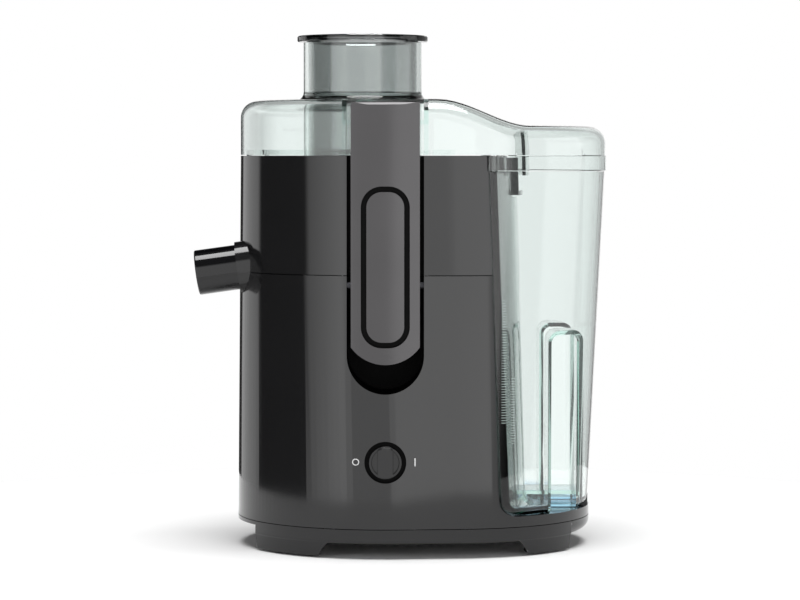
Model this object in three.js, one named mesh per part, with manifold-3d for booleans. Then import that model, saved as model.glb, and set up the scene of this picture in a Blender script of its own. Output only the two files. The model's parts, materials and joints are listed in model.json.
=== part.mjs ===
// A centrifugal juicer, in millimetres with +Z up: a motor base, a juice bowl with a spinning strainer
// basket, a clear lid with a feed chute and pusher, a clear pulp container and a front locking latch.
// The pieces are drawn about the motor's axis and the whole is then centred over its own footprint.
import * as THREE from 'three';
import { mergeVertices } from 'three/addons/utils/BufferGeometryUtils.js';
import Module from 'manifold-3d';

const wasm = await Module();
wasm.setup();

// ---------------------------------------------------------------- fits and walls
const gap = 0.4; // between fixed neighbours
const slideGap = 0.8; // between pieces that slide or lift off by hand
const shellWall = 2.8; // base, bowl and bottom cover
const clearWall = 2.5; // lid and pulp container

// ---------------------------------------------------------------- plan of the body
const bodyRadius = 86.8; // round left end, at the lid seam
const bodyDraft = 2; // how much wider the round end is at the foot
const endRadius = bodyRadius - 1; // round right end
const endOffset = 36; // from the motor axis to the right end's centre
const lidOverhang = 10; // how far the lid's right end stands past the body's
const lidEndRadius = endRadius - 0.6;
const juiceRadius = bodyRadius - 14.8; // round well of the bowl
const columnReach = juiceRadius + 2.5; // from the axis to the column's right wall, at the lid seam
const columnLean = 6; // how much further right that wall stands at the shelf
const wallBow = 228; // radius of that wall's shallow bow
const shelfFillet = 9; // hollow corner between that wall and the shelf

// ---------------------------------------------------------------- heights
const skirtZ = 8.8; // underside of the bottom cover between its feet
const coverHeight = 8.7;
const shelfHeight = 5.9; // from the cover seam to the shelf under the pulp container
const baseHeight = 145.7;
const bowlHeight = 68.8;
const lidHeight = 32.1;
const chuteRise = 34.8;
const hoodDrop = 9; // how far the lid's hood reaches below the lid seam
const baseZ = skirtZ + coverHeight;
const shelfZ = baseZ + shelfHeight;
const bowlZ = baseZ + baseHeight;
const lidZ = bowlZ + bowlHeight;
const lidTopZ = lidZ + lidHeight;
const chuteTopZ = lidTopZ + chuteRise;
const hoodZ = lidZ - hoodDrop;
const deckDrop = 14.2; // from the bowl seam down to the motor deck
const deckZ = bowlZ - deckDrop;
const deckUnderZ = deckZ - shellWall;

// ---------------------------------------------------------------- feet
const footBottomZ = 1.2;
const footPadRadius = 7;
const footPadHeight = 2.4;
const footInset = 12.5; // from the body's outline to a pad's centre
const leftFootEndX = -33; // where the left foot runs out into the skirt
const rightFootEndX = 77;
const endCutHalf = 45; // half the gap between a front foot and the rear one beside it
const endCutRound = 6.2; // how far the cover's edge is rounded off in that gap
const footBand = 28; // width of the feet, in from the outline

// ---------------------------------------------------------------- latch
const latchWidth = 39.5;
const latchThickness = 8;
const latchProud = 2; // how far the latch stands out of the body's front
const latchSideGap = 2.4;
const latchBackGap = 4.2;
const latchTopDrop = 1.2; // from the lid's top to the latch's top
const hookThickness = 7.7;
const hookReach = 3; // how far the hook lies over the lid's ledge
const hookGap = 3.2; // between the hook and the ledge
const pivotDrop = 5.9; // from the bowl seam to the latch's pin
const pivotInset = 5.3; // from the body's front to the pin
const pinRadius = 2;
const latchBossRadius = 4.8;
const latchTail = 51.2; // from the bowl seam down to the latch's tail
const tailArc = 24.5;
const wellDrop = 68.2; // from the bowl seam down to the bottom of the finger well
const padLow = 41.6; // from the bowl seam down to the recess for the grip pad
const padHigh = 50.8; // from the bowl seam up to the recess's top
const padRecessWidth = 28;
const padGroove = 3.2;
const padDepth = 3;
const padArc = 17;
const slotHalf = latchWidth / 2 + latchSideGap;
const latchFrontY = -bodyRadius - latchProud;
const latchBackY = latchFrontY + latchThickness;
const slotBackY = latchBackY + latchBackGap;
const pivotZ = bowlZ - pivotDrop;
const pivotY = -bodyRadius + pivotInset;
const baseSlotBackY = pivotY + latchBossRadius + 2.7;
const latchTopZ = lidTopZ - latchTopDrop;
const hookUnderZ = latchTopZ - hookThickness;
const ledgeZ = hookUnderZ - hookGap;
const pocketBackY = slotBackY + 12.6;
const wellBottomZ = bowlZ - wellDrop;
const wellTopZ = pivotZ - 1.3;

// ---------------------------------------------------------------- control knob
const knobDrop = 39; // from the finger well down to the knob's centre
const knobRadius = 9.35;
const knobRecessRadius = 12;
const knobRecessDepth = 3.2;
const recessWall = 2.4;
const knobStandOut = 8.4; // how far the grip bar stands out of the body
const knobBarWidth = 8.6;
const knobShaftRadius = 2.8;
const switchRadius = 13;
const switchDepth = 16;
const knobZ = wellBottomZ - knobDrop;

// ---------------------------------------------------------------- motor, hung under the deck
const shaftRadius = 4;
const canRadius = 39.4;
const canWall = 2;
const canHeight = 107;
const bracketThickness = 3;
const bracketDrop = 3; // from the deck's underside to the bracket
const cushionThickness = 2.6;
const bearingRadius = 11;
const bearingHeight = 7;
const statorRadius = canRadius - canWall - gap;
const statorBore = 24;
const stackHeight = 46;
const windingHeight = 5.2;
const armatureGap = 0.6;
const commutatorRadius = 11;
const commutatorHeight = 10;
const fanRadius = 31;
const fanHeight = 9;
const fanBlades = 9;
const bracketTopZ = deckUnderZ - bracketDrop;
const bracketZ = bracketTopZ - bracketThickness;
const canTopZ = bracketZ - gap;
const canBottomZ = canTopZ - canHeight;
const upperBearingZ = bracketTopZ - 10.5;
const lowerBearingZ = canBottomZ - 5;
const fanZ = upperBearingZ - 14;
const stackZ = fanZ - fanHeight - windingHeight - stackHeight - 2;
const commutatorZ = stackZ - windingHeight - commutatorHeight - 1;

// ---------------------------------------------------------------- bowl and basket
const bowlFloorZ = bowlZ + 4.8;
const bowlFloor = 2.5;
const pulpDeckDrop = 21; // from the lid seam down to the floor of the pulp way
const pulpDeckZ = lidZ - pulpDeckDrop;
const channelWall = 2.5;
const channelRise = 6; // the juice wall's height above the pulp way
const pulpGateHalf = 42;
const pulpLipReach = 6.5;
const hubTubeBore = 14.5;
const hubTubeHeight = 10;
const couplingRadius = 9.6;
const couplingLobe = 0.9;
const couplingLobes = 6;
const couplingHeight = 26;
const basketPlateZ = bowlFloorZ + 12;
const basketPlate = 3;
const basketHeight = 46;
const basketRimRadius = juiceRadius - 2.5;
const basketFlare = 8; // how much wider the basket is at its rim than at its plate
const meshThickness = 0.8;
const rimHeight = 8;
const graterThickness = 1;
const basketRimZ = basketPlateZ + basketHeight;
const basketFootRadius = basketRimRadius - 3.5 - basketFlare;
const graterZ = basketPlateZ + basketPlate + gap;

// ---------------------------------------------------------------- chute and pusher
const chuteRadius = 35.3;
const chuteWall = 2.4;
const chuteX = -13.9;
const chuteFlare = 5.6;
const chuteBottomZ = graterZ + 5;
const pusherGap = 0.5;
const pusherWall = 2.2;
const pusherFlangeRadius = 39;
const pusherFlange = 3.5;

// ---------------------------------------------------------------- spout
const spoutRadius = 13.3;
const spoutBore = 11;
const spoutReach = 112; // from the motor axis to the spout's tip
const spoutY = -21;
const spoutSlope = THREE.MathUtils.degToRad(8);
const spoutWallZ = bowlZ + 2.8; // height of its axis where it leaves the body
const stubRadius = 15;
const stubReach = 2.8; // how far the stub stands out of the bowl
const spoutSeat = 14; // length of spout held in the stub
const drainReach = 20; // length of the drain inside the bowl

// ---------------------------------------------------------------- pulp container
const containerFloor = 2.5;
const containerRound = 4;
const tabHeight = 5.2;
const tabHalf = 12;
const tabLength = 9;
const tunnelGap = 1;
const lipClearance = 1; // from the pulp lip down to the container's low wall
const gripWidth = 16;
const gripCorner = 4.5;
const gripFromEnd = 9; // from the container's right end to the finger pockets
const gripHeight = 104; // above the shelf
const gripHalfWeb = 28; // half the width of the web between the pockets

// ---------------------------------------------------------------- fasteners and cord entry
const screwRadius = 1.5;
const screwHeadRadius = 3.8;
const screwHead = 2.4;
const screwLength = 26;
const postRadius = 4.8;
const glandX = 18;
const glandRise = 16; // above the cover seam
const glandRadius = 6.6;
const glandFlange = 9.4;
const glandBore = 3.3;

// ---------------------------------------------------------------- materials
const finish = (color, roughness, metalness = 0, opacity = 1) =>
  new THREE.MeshStandardMaterial({ color, roughness, metalness, opacity, transparent: opacity < 1 });
const charcoal = finish(0x2b2b2d, 0.22);
const satinCharcoal = finish(0x3a3a3c, 0.38);
const black = finish(0x0d0d0e, 0.3);
const rubber = finish(0x1a1a1a, 0.9);
const clear = finish(0xd5e2dd, 0.06, 0, 0.32);
const smoke = finish(0x55585a, 0.08, 0, 0.5);
const steel = finish(0xb8bbbd, 0.3, 1);
const darkSteel = finish(0x6d7073, 0.45, 1);
const copper = finish(0xb0612f, 0.4, 1);
const nylon = finish(0xd9d6cc, 0.6);

// ---------------------------------------------------------------- solids
function asSolid(vertices, triangles) {
  const mesh = new wasm.Mesh({
    numProp: 3,
    vertProperties: new Float32Array(vertices),
    triVerts: new Uint32Array(triangles),
  });
  return new wasm.Manifold(mesh);
}

// The solid that a closed geometry bounds. A turned profile may run either way round.
function solidOf(geometry) {
  const bare = new THREE.BufferGeometry();
  bare.setAttribute('position', geometry.getAttribute('position'));
  bare.setIndex(geometry.index);
  const merged = mergeVertices(bare, 1e-4);
  const corners = merged.index.array;
  const kept = [];
  for (let i = 0; i < corners.length; i += 3) {
    const [a, b, c] = corners.slice(i, i + 3);
    if (a !== b && b !== c && c !== a) kept.push(a, b, c);
  }
  const vertices = merged.getAttribute('position').array;
  const solid = asSolid(vertices, kept);
  return solid.volume() > 0 ? solid : asSolid(vertices, kept.reverse());
}

function box(x0, x1, y0, y1, z0, z1) {
  const geometry = new THREE.BoxGeometry(x1 - x0, y1 - y0, z1 - z0);
  geometry.translate((x0 + x1) / 2, (y0 + y1) / 2, (z0 + z1) / 2);
  return solidOf(geometry);
}

// A round bar between two points.
function rod(from, to, radius, sides = 20) {
  const start = new THREE.Vector3(...from);
  const end = new THREE.Vector3(...to);
  const along = end.clone().sub(start);
  const geometry = new THREE.CylinderGeometry(radius, radius, along.length(), sides);
  const upward = new THREE.Vector3(0, 1, 0);
  const turn = new THREE.Quaternion().setFromUnitVectors(upward, along.clone().normalize());
  geometry.applyQuaternion(turn);
  geometry.translate(...start.add(end).multiplyScalar(0.5).toArray());
  return solidOf(geometry);
}

const upright = (radius, z0, z1, x = 0, y = 0, sides = 20) => rod([x, y, z0], [x, y, z1], radius, sides);

// A profile of [radius, height] points turned about the vertical through x, y.
function turned(profile, sides = 24, x = 0, y = 0) {
  const points = profile.map(([radius, z]) => new THREE.Vector2(radius, z));
  const geometry = new THREE.LatheGeometry(points, sides);
  geometry.rotateX(Math.PI / 2);
  geometry.translate(x, y, 0);
  return solidOf(geometry);
}

// A plain ring, as a closed turned profile.
function hoop(inner, outer, z0, z1, sides = 24, x = 0, y = 0) {
  const profile = [[inner, z0], [outer, z0], [outer, z1], [inner, z1], [inner, z0]];
  return turned(profile, sides, x, y);
}

// A shape drawn on the front elevation, [x, z], carried from y0 back to y1.
function fromFront(shape, y0, y1) {
  const settings = { depth: y1 - y0, bevelEnabled: false, curveSegments: 10 };
  const geometry = new THREE.ExtrudeGeometry(shape, settings);
  geometry.rotateX(Math.PI / 2);
  geometry.translate(0, y1, 0);
  return solidOf(geometry);
}

// A shape drawn on the side elevation, [y, z], carried from x0 across to x1.
function fromSide(outline, x0, x1) {
  const shape = new THREE.Shape(outline.map(([y, z]) => new THREE.Vector2(y, z)));
  const geometry = new THREE.ExtrudeGeometry(shape, { depth: x1 - x0, bevelEnabled: false });
  geometry.rotateX(Math.PI / 2);
  geometry.rotateZ(Math.PI / 2);
  geometry.translate(x0, 0, 0);
  return solidOf(geometry);
}

function shapeOf(points) {
  return new THREE.Shape(points.map(([x, z]) => new THREE.Vector2(x, z)));
}

// ---------------------------------------------------------------- lofts
const arcSteps = 9;
const filletSteps = 4;
const straightSteps = 4;

// Front half of an outline, from its leftmost point to its rightmost: a round left end about the motor
// axis, a round right end about endX, and the tangent between them.
function roundEnds(leftRadius, rightRadius, endX) {
  const tilt = Math.asin((leftRadius - rightRadius) / endX);
  const points = [];
  for (let i = 0; i <= arcSteps; i++) {
    const angle = Math.PI + ((Math.PI / 2 + tilt) * i) / arcSteps;
    points.push([leftRadius * Math.cos(angle), leftRadius * Math.sin(angle)]);
  }
  const [startX, startY] = points.at(-1);
  const stopX = endX + rightRadius * Math.sin(tilt);
  const stopY = -rightRadius * Math.cos(tilt);
  for (let i = 1; i < straightSteps; i++) {
    const share = i / straightSteps;
    points.push([startX + (stopX - startX) * share, startY + (stopY - startY) * share]);
  }
  for (let i = 0; i <= arcSteps; i++) {
    const angle = -Math.PI / 2 + tilt + ((Math.PI / 2 - tilt) * i) / arcSteps;
    points.push([endX + rightRadius * Math.cos(angle), rightRadius * Math.sin(angle)]);
  }
  return points;
}

// A solid through stacked rings. Each ring is the front half of a symmetrical outline and its height,
// which may depend on x.
function loft(rings) {
  const half = rings[0].front.length - 1;
  const around = 2 * half;
  const vertices = [];
  for (const { front, z } of rings) {
    const back = front.slice(1, -1).reverse().map(([x, y]) => [x, -y]);
    for (const [x, y] of [...front, ...back]) vertices.push(x, y, typeof z === 'function' ? z(x) : z);
  }
  const triangles = [];
  const quad = (a, b, c, d) => triangles.push(a, b, c, a, c, d);
  for (let level = 0; level < rings.length - 1; level++) {
    const low = level * around;
    const high = low + around;
    for (let i = 0; i < around; i++) {
      const next = (i + 1) % around;
      quad(low + i, low + next, high + next, high + i);
    }
  }
  const top = (rings.length - 1) * around;
  const mirrored = (i) => (around - i) % around;
  for (let i = 0; i < half; i++) {
    const ends = i === 0 ? 'start' : i === half - 1 ? 'stop' : 'middle';
    const next = i + 1;
    if (ends !== 'stop') {
      triangles.push(i, mirrored(next), next);
      triangles.push(top + i, top + next, top + mirrored(next));
    }
    if (ends !== 'start') {
      triangles.push(i, mirrored(i), mirrored(next));
      triangles.push(top + i, top + mirrored(next), top + mirrored(i));
    }
  }
  return asSolid(vertices, triangles);
}

const draftAt = (z) => (bodyDraft * (lidZ - z)) / (lidZ - baseZ);
const bodyRing = (inset, z) => ({
  front: roundEnds(bodyRadius + draftAt(z) - inset, endRadius - inset, endOffset),
  z,
});
const bodyBlock = (inset, z0, z1) => loft([bodyRing(inset, z0), bodyRing(inset, z1)]);

// Everything left of the column's bowed right wall, moved right by offset.
function columnBlock(offset, z0, z1) {
  const reach = (z) => columnReach + (columnLean * (lidZ - z)) / (lidZ - shelfZ);
  const round = Math.max(shelfFillet - offset, gap);
  const farLeft = -bodyRadius * 2;
  const farFront = bodyRadius * 1.3;
  const ring = (z) => {
    const centre = reach(z) - wallBow;
    const drop = Math.min(Math.max(shelfZ + shelfFillet - z, 0), round);
    const radius = wallBow + offset + round - Math.sqrt(round * round - drop * drop);
    const spread = Math.asin(farFront / radius);
    const front = [[farLeft - 1, 0], [farLeft, -farFront]];
    for (let i = 0; i <= arcSteps; i++) {
      const angle = -spread * (1 - i / arcSteps);
      front.push([centre + radius * Math.cos(angle), radius * Math.sin(angle)]);
    }
    return { front, z };
  };
  const heights = [z0];
  for (let i = 0; i <= filletSteps; i++) {
    const angle = ((Math.PI / 2) * i) / filletSteps;
    heights.push(shelfZ + shelfFillet - round * Math.cos(angle));
  }
  heights.push(z1);
  return loft(heights.filter((z) => z >= z0 && z <= z1).map(ring));
}

const column = (inset, z0, z1) => bodyBlock(inset, z0, z1).intersect(columnBlock(-inset, z0 - 1, z1 + 1));

// The latch's slot through a shell, grown by grow, from z0 up to z1.
const slotBlock = (grow, backY, z0, z1) =>
  box(-slotHalf - grow, slotHalf + grow, -bodyRadius * 1.3, backY + grow, z0, z1);

// The finger well under the latch's tail: a round-bottomed slot that is deep below the pin.
function fingerWell(grow) {
  const half = slotHalf + grow;
  const centreZ = wellBottomZ + slotHalf;
  const shape = new THREE.Shape();
  shape.moveTo(half, wellTopZ + grow);
  shape.lineTo(-half, wellTopZ + grow);
  shape.lineTo(-half, centreZ);
  shape.absarc(0, centreZ, half, Math.PI, 2 * Math.PI, false);
  const wellBackY = -(canRadius + cushionThickness + 3 * gap + shellWall);
  return fromFront(shape, -bodyRadius * 1.3, wellBackY + grow);
}

// ---------------------------------------------------------------- spout line
const bodyLeftX = -Math.sqrt((bodyRadius + draftAt(bowlZ)) ** 2 - spoutY ** 2);
const spoutPoint = (x) => [x, spoutY, spoutWallZ + (x - bodyLeftX) * Math.tan(spoutSlope)];
const stubOuterX = bodyLeftX - stubReach;
const seatX = stubOuterX + spoutSeat;
const drainEndX = seatX + drainReach;
const stubBar = (radius, pastX = 0) =>
  rod(spoutPoint(stubOuterX - pastX), spoutPoint(drainEndX + channelWall), radius);

// ---------------------------------------------------------------- base
const postPlaces = [
  [-34, -64],
  [-34, 64],
  [48, -56],
  [48, 56],
];

function baseHousing() {
  let shell = column(0, baseZ, bowlZ - gap).add(bodyBlock(0, baseZ, shelfZ));
  const tabEndX = endOffset + endRadius;
  const tab = box(tabEndX - tabLength, tabEndX + 5, -tabHalf, tabHalf, shelfZ - 1, shelfZ + tabHeight);
  shell = shell.add(tab.intersect(bodyBlock(0.5, baseZ, shelfZ + tabHeight + 1)));
  const wellWall = fingerWell(shellWall).add(slotBlock(shellWall, baseSlotBackY, wellTopZ - 20, bowlZ + 1));
  const motorRoom = column(shellWall, baseZ - 1, deckUnderZ)
    .add(bodyBlock(shellWall, baseZ - 1, shelfZ - shellWall))
    .subtract(wellWall);
  const bowlRoom = column(shellWall, deckZ, bowlZ + 1).subtract(wellWall);
  shell = shell.subtract(motorRoom).subtract(bowlRoom);
  shell = shell.add(motorMount()).add(screwPosts()).add(knobBoss());
  const slot = fingerWell(0).add(slotBlock(0, baseSlotBackY, wellTopZ - 20, bowlZ + 1));
  const knobFrontY = -(bodyRadius + draftAt(knobZ));
  const recessBack = [0, knobFrontY + knobRecessDepth, knobZ];
  const recess = rod([0, knobFrontY - 5, knobZ], recessBack, knobRecessRadius, 28);
  const shaftHole = rod([0, knobFrontY - 5, knobZ], [0, knobFrontY + 20, knobZ], knobShaftRadius + gap, 20);
  const pinEnd = slotHalf + 2.6;
  const pinHole = rod([-pinEnd, pivotY, pivotZ], [pinEnd, pivotY, pivotZ], pinRadius + gap, 20);
  const glandZ = baseZ + glandRise;
  const glandHole = rod([glandX, 0, glandZ], [glandX, 120, glandZ], glandRadius + gap, 24);
  const sealHole = upright(bearingRadius + 1, deckUnderZ - 1, deckZ + 1);
  const spoutNotch = stubBar(stubRadius + gap, 20);
  const cuts = [slot, recess, shaftHole, pinHole, glandHole, sealHole, spoutNotch];
  return cuts.reduce((a, b) => a.subtract(b), shell);
}

// Collar under the deck that holds the motor in its rubber ring.
function motorMount() {
  const inner = canRadius + cushionThickness + 2 * gap;
  return hoop(inner, inner + shellWall, bracketZ - 1, deckUnderZ + 0.5)
    .subtract(fingerWell(gap))
    .subtract(box(-4, 4, 0, 100, 0, deckUnderZ - 4));
}

function screwPosts() {
  return postPlaces
    .map(([x, y]) => upright(postRadius, baseZ + gap, deckUnderZ + 0.5, x, y, 8)
      .subtract(upright(screwRadius + gap, baseZ, baseZ + screwLength, x, y, 8)))
    .reduce((a, b) => a.add(b));
}

// Thick pad behind the front wall, which the knob's recess is sunk into.
function knobBoss() {
  const frontY = -(bodyRadius + draftAt(knobZ));
  const bossBack = [0, frontY + knobRecessDepth + recessWall, knobZ];
  const boss = rod([0, frontY, knobZ], bossBack, knobRecessRadius + recessWall, 24);
  return boss.intersect(bodyBlock(0.5, baseZ, bowlZ));
}

function bottomCover() {
  const topZ = baseZ - gap;
  const edge = 1.6;
  const tray = loft([bodyRing(edge, skirtZ), bodyRing(edge * 0.3, skirtZ + edge * 0.3),
    bodyRing(0, skirtZ + edge), bodyRing(0, topZ)]);
  const rounded = [];
  for (let i = 0; i <= 5; i++) {
    const angle = (Math.PI / 2) * (i / 5);
    rounded.push(bodyRing(endCutRound * (1 - Math.sin(angle)), skirtZ + endCutRound * (1 - Math.cos(angle))));
  }
  const gapBetween = box(-200, 200, -endCutHalf, endCutHalf, 0, skirtZ + endCutRound);
  const undercut = gapBetween.subtract(loft(rounded));
  const hollow = bodyBlock(endCutRound + shellWall, skirtZ + shellWall, baseZ + 1);
  const footBar = loft([bodyRing(1.2, footBottomZ), bodyRing(0.4, skirtZ), bodyRing(0.4, skirtZ + 3)])
    .subtract(bodyBlock(footBand, 0, skirtZ + 2));
  const slope = 5.5;
  const high = skirtZ + 1;
  const leftFoot = shapeOf([[-200, 0], [leftFootEndX - slope, 0], [leftFootEndX, high], [-200, high]]);
  const rightFoot = shapeOf([[200, 0], [200, high], [rightFootEndX, high], [rightFootEndX + slope, 0]]);
  const feet = [leftFoot, rightFoot].map((shape) => footBar.intersect(fromFront(shape, -150, 150)));
  let cover = tray.subtract(hollow).add(feet[0]).add(feet[1]).subtract(undercut);
  for (const [x, y] of footPlaces()) {
    cover = cover.subtract(upright(footPadRadius + gap, -1, footPadHeight + gap, x, y, 16));
  }
  for (const [x, y] of postPlaces) {
    cover = cover.add(upright(screwHeadRadius + 2.4, skirtZ + 0.5, baseZ - gap, x, y, 12));
    cover = cover.subtract(upright(screwHeadRadius + gap, 0, skirtZ + 4, x, y, 12));
    cover = cover.subtract(upright(screwRadius + gap, 0, baseZ + 1, x, y, 8));
  }
  for (let i = -3; i <= 3; i++) {
    cover = cover.subtract(box(i * 8 - 1.6, i * 8 + 1.6, -26, 26, 0, baseZ));
  }
  return cover;
}

function footPlaces() {
  const left = bodyRadius + bodyDraft - footInset;
  const right = endRadius - footInset;
  const leftAngle = THREE.MathUtils.degToRad(227);
  const rightAngle = THREE.MathUtils.degToRad(-45);
  const places = [
    [left * Math.cos(leftAngle), left * Math.sin(leftAngle)],
    [endOffset + right * Math.cos(rightAngle), right * Math.sin(rightAngle)],
  ];
  return [...places, ...places.map(([x, y]) => [x, -y])];
}

const footPad = ([x, y]) =>
  turned([
    [0, 0], [footPadRadius - 1, 0], [footPadRadius, 1], [footPadRadius, footPadHeight], [0, footPadHeight],
  ], 16, x, y);

const coverScrew = ([x, y]) =>
  upright(screwHeadRadius, skirtZ + 4 - screwHead - gap, skirtZ + 4 - gap, x, y, 12)
    .add(upright(screwRadius, skirtZ + 3, baseZ + screwLength - 2, x, y, 8))
    .subtract(box(x - 2.4, x + 2.4, y - 0.5, y + 0.5, skirtZ - 1, skirtZ + 2.2))
    .subtract(box(x - 0.5, x + 0.5, y - 2.4, y + 2.4, skirtZ - 1, skirtZ + 2.2));

// ---------------------------------------------------------------- motor
function motorCan() {
  const ventRadius = 5;
  let can = turned([
    [shaftRadius + 1.5, canBottomZ],
    [canRadius, canBottomZ],
    [canRadius, canTopZ],
    [canRadius - canWall, canTopZ],
    [canRadius - canWall, canBottomZ + canWall],
    [bearingRadius + gap + canWall, canBottomZ + canWall],
    [bearingRadius + gap + canWall, canBottomZ + canWall + 3],
    [shaftRadius + 1.5, canBottomZ + canWall + 3],
    [shaftRadius + 1.5, canBottomZ],
  ]);
  const seat = bearingRadius + gap;
  can = can.add(hoop(seat, seat + canWall, lowerBearingZ - bearingHeight, canBottomZ + 1));
  can = can.subtract(upright(bearingRadius + gap, lowerBearingZ - bearingHeight - 1, canBottomZ + canWall));
  for (let i = 0; i < 6; i++) {
    const angle = (i * Math.PI) / 3;
    const [x, y] = [26 * Math.cos(angle), 26 * Math.sin(angle)];
    can = can.subtract(upright(ventRadius, canBottomZ - 1, canBottomZ + canWall + 1, x, y, 8));
  }
  return can;
}

const motorBracket = () =>
  turned([
    [shaftRadius + 1.5, bracketTopZ],
    [canRadius + gap, bracketTopZ],
    [canRadius + gap, bracketZ],
    [bearingRadius + gap + 2, bracketZ],
    [bearingRadius + gap + 2, upperBearingZ],
    [bearingRadius + gap, upperBearingZ],
    [bearingRadius + gap, upperBearingZ + bearingHeight + gap],
    [shaftRadius + 1.5, upperBearingZ + bearingHeight + gap],
    [shaftRadius + 1.5, bracketTopZ],
  ]);

const motorCushion = () =>
  hoop(canRadius + 2 * gap, canRadius + cushionThickness + gap, bracketZ - 1, bracketTopZ + bracketDrop - gap)
    .add(hoop(canRadius - 6, canRadius + cushionThickness + gap, bracketTopZ + gap,
      bracketTopZ + bracketDrop - gap));

const bearing = (z) =>
  turned([
    [shaftRadius + gap, z],
    [shaftRadius + 2.4, z],
    [shaftRadius + 2.8, z + 0.6],
    [bearingRadius - 2.4, z + 0.6],
    [bearingRadius - 2, z],
    [bearingRadius, z],
    [bearingRadius, z + bearingHeight],
    [shaftRadius + gap, z + bearingHeight],
    [shaftRadius + gap, z],
  ], 20);

function stator() {
  let stack = hoop(statorBore, statorRadius, stackZ, stackZ + stackHeight);
  for (const side of [-1, 1]) {
    stack = stack.subtract(box(side * 30 - 3, side * 30 + 3, -14, 14, stackZ - 1, stackZ + stackHeight + 1));
  }
  return stack;
}

const winding = (z) =>
  turned([
    [statorBore + 1, z],
    [statorRadius - 4, z],
    [statorRadius - 3, z + windingHeight / 2],
    [statorRadius - 4, z + windingHeight - gap],
    [statorBore + 1, z + windingHeight - gap],
    [statorBore + 1, z],
  ]);

function brushHolder(side) {
  const inner = commutatorRadius + 6;
  const outer = canRadius - canWall - gap;
  const z = commutatorZ + commutatorHeight / 2;
  const block = box(inner, outer - 1.5, -5, 5, z - 4.5, z + 4.5);
  return block.subtract(box(inner - 1, outer - 4, -3, 3, z - 3, z + 3)).rotate([0, 0, side > 0 ? 0 : 180]);
}

function carbonBrush(side) {
  const z = commutatorZ + commutatorHeight / 2;
  const block = box(commutatorRadius + 0.5, canRadius - canWall - 8, -2.6, 2.6, z - 2.6, z + 2.6);
  return block.rotate([0, 0, side > 0 ? 0 : 180]);
}

const shaftSeal = () => hoop(shaftRadius + gap, bearingRadius + 1 - gap, deckUnderZ - 0.5, deckZ + 1.5, 20);

// ---------------------------------------------------------------- rotor
const couplingZ = deckZ + 4;
const shaftTopZ = couplingZ + couplingHeight - 6;

const rotorShaft = () =>
  turned([
    [0, lowerBearingZ - bearingHeight + 1],
    [shaftRadius, lowerBearingZ - bearingHeight + 1],
    [shaftRadius, shaftTopZ],
    [0, shaftTopZ],
  ], 24);

function armature() {
  const outer = statorBore - armatureGap;
  const slots = 12;
  let core = hoop(shaftRadius + gap, outer, stackZ, stackZ + stackHeight, 24);
  for (let i = 0; i < slots; i++) {
    const slot = box(outer - 6, outer + 2, -1.2, 1.2, stackZ - 1, stackZ + stackHeight + 1);
    core = core.subtract(slot.rotate([0, 0, (360 * i) / slots]));
  }
  return core;
}

function commutator() {
  const bars = 12;
  let ring = hoop(shaftRadius + gap, commutatorRadius, commutatorZ, commutatorZ + commutatorHeight, 24);
  for (let i = 0; i < bars; i++) {
    const groove = box(commutatorRadius - 1, commutatorRadius + 1, -0.35, 0.35,
      commutatorZ - 1, commutatorZ + 11);
    ring = ring.subtract(groove.rotate([0, 0, (360 * i) / bars]));
  }
  return ring;
}

function coolingFan() {
  let fan = hoop(shaftRadius + gap, 9, fanZ - fanHeight, fanZ, 16);
  fan = fan.add(hoop(8, fanRadius, fanZ - fanHeight, fanZ - fanHeight + 1.5, 24));
  for (let i = 0; i < fanBlades; i++) {
    const blade = box(8, fanRadius - 1, -0.8, 0.8, fanZ - fanHeight + 1, fanZ);
    fan = fan.add(blade.rotate([0, 0, (360 * i) / fanBlades]));
  }
  return fan;
}

// The coupling's lobed section, grown by grow, from z0 to z1.
function lobed(grow, z0, z1) {
  const steps = 36;
  const outline = [];
  for (let i = 0; i < steps; i++) {
    const angle = (2 * Math.PI * i) / steps;
    const radius = couplingRadius + grow + couplingLobe * Math.cos(couplingLobes * angle);
    outline.push(new THREE.Vector2(radius * Math.cos(angle), radius * Math.sin(angle)));
  }
  const settings = { depth: z1 - z0, bevelEnabled: false };
  const geometry = new THREE.ExtrudeGeometry(new THREE.Shape(outline), settings);
  geometry.translate(0, 0, z0);
  return solidOf(geometry);
}

const driveCoupling = () =>
  lobed(0, couplingZ, couplingZ + couplingHeight)
    .subtract(upright(shaftRadius + gap, couplingZ - 1, shaftTopZ + gap, 0, 0, 24));

function basketHub() {
  const lip = 5;
  const tubeOuter = hubTubeBore + channelWall;
  const plate = turned([[0, basketPlateZ], [basketFootRadius + 2.4, basketPlateZ],
    [basketFootRadius + 2.4, basketPlateZ + basketPlate + lip],
    [basketFootRadius + gap + 1, basketPlateZ + basketPlate + lip],
    [basketFootRadius + gap, basketPlateZ + basketPlate], [0, basketPlateZ + basketPlate]], 48);
  const sleeve = upright(hubTubeBore - 1, bowlFloorZ - 0.6, basketPlateZ + 0.5, 0, 0, 28);
  const skirt = hoop(tubeOuter + 1, tubeOuter + 3.4, bowlFloorZ + 3, basketPlateZ + 0.5, 28);
  return plate.add(sleeve).add(skirt).subtract(lobed(gap, bowlFloorZ - 5, couplingZ + couplingHeight + gap));
}

function graterDisc() {
  const outer = basketFootRadius - 2.6;
  const toothRows = 2;
  let disc = turned([[0, graterZ], [outer, graterZ], [outer, graterZ + graterThickness],
    [9, graterZ + graterThickness],
    [6, graterZ + 3], [0, graterZ + 3.4]], 48);
  for (let row = 0; row < toothRows; row++) {
    const count = 8;
    for (let i = 0; i < count; i++) {
      const radius = 20 + row * 18;
      const tooth = box(radius - 2.5, radius + 2.5, -0.6, 0.6, graterZ + 0.5,
        graterZ + graterThickness + 1.2);
      disc = disc.add(tooth.rotate([0, 0, (360 * (i + row / toothRows)) / count]));
    }
  }
  return disc;
}

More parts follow.
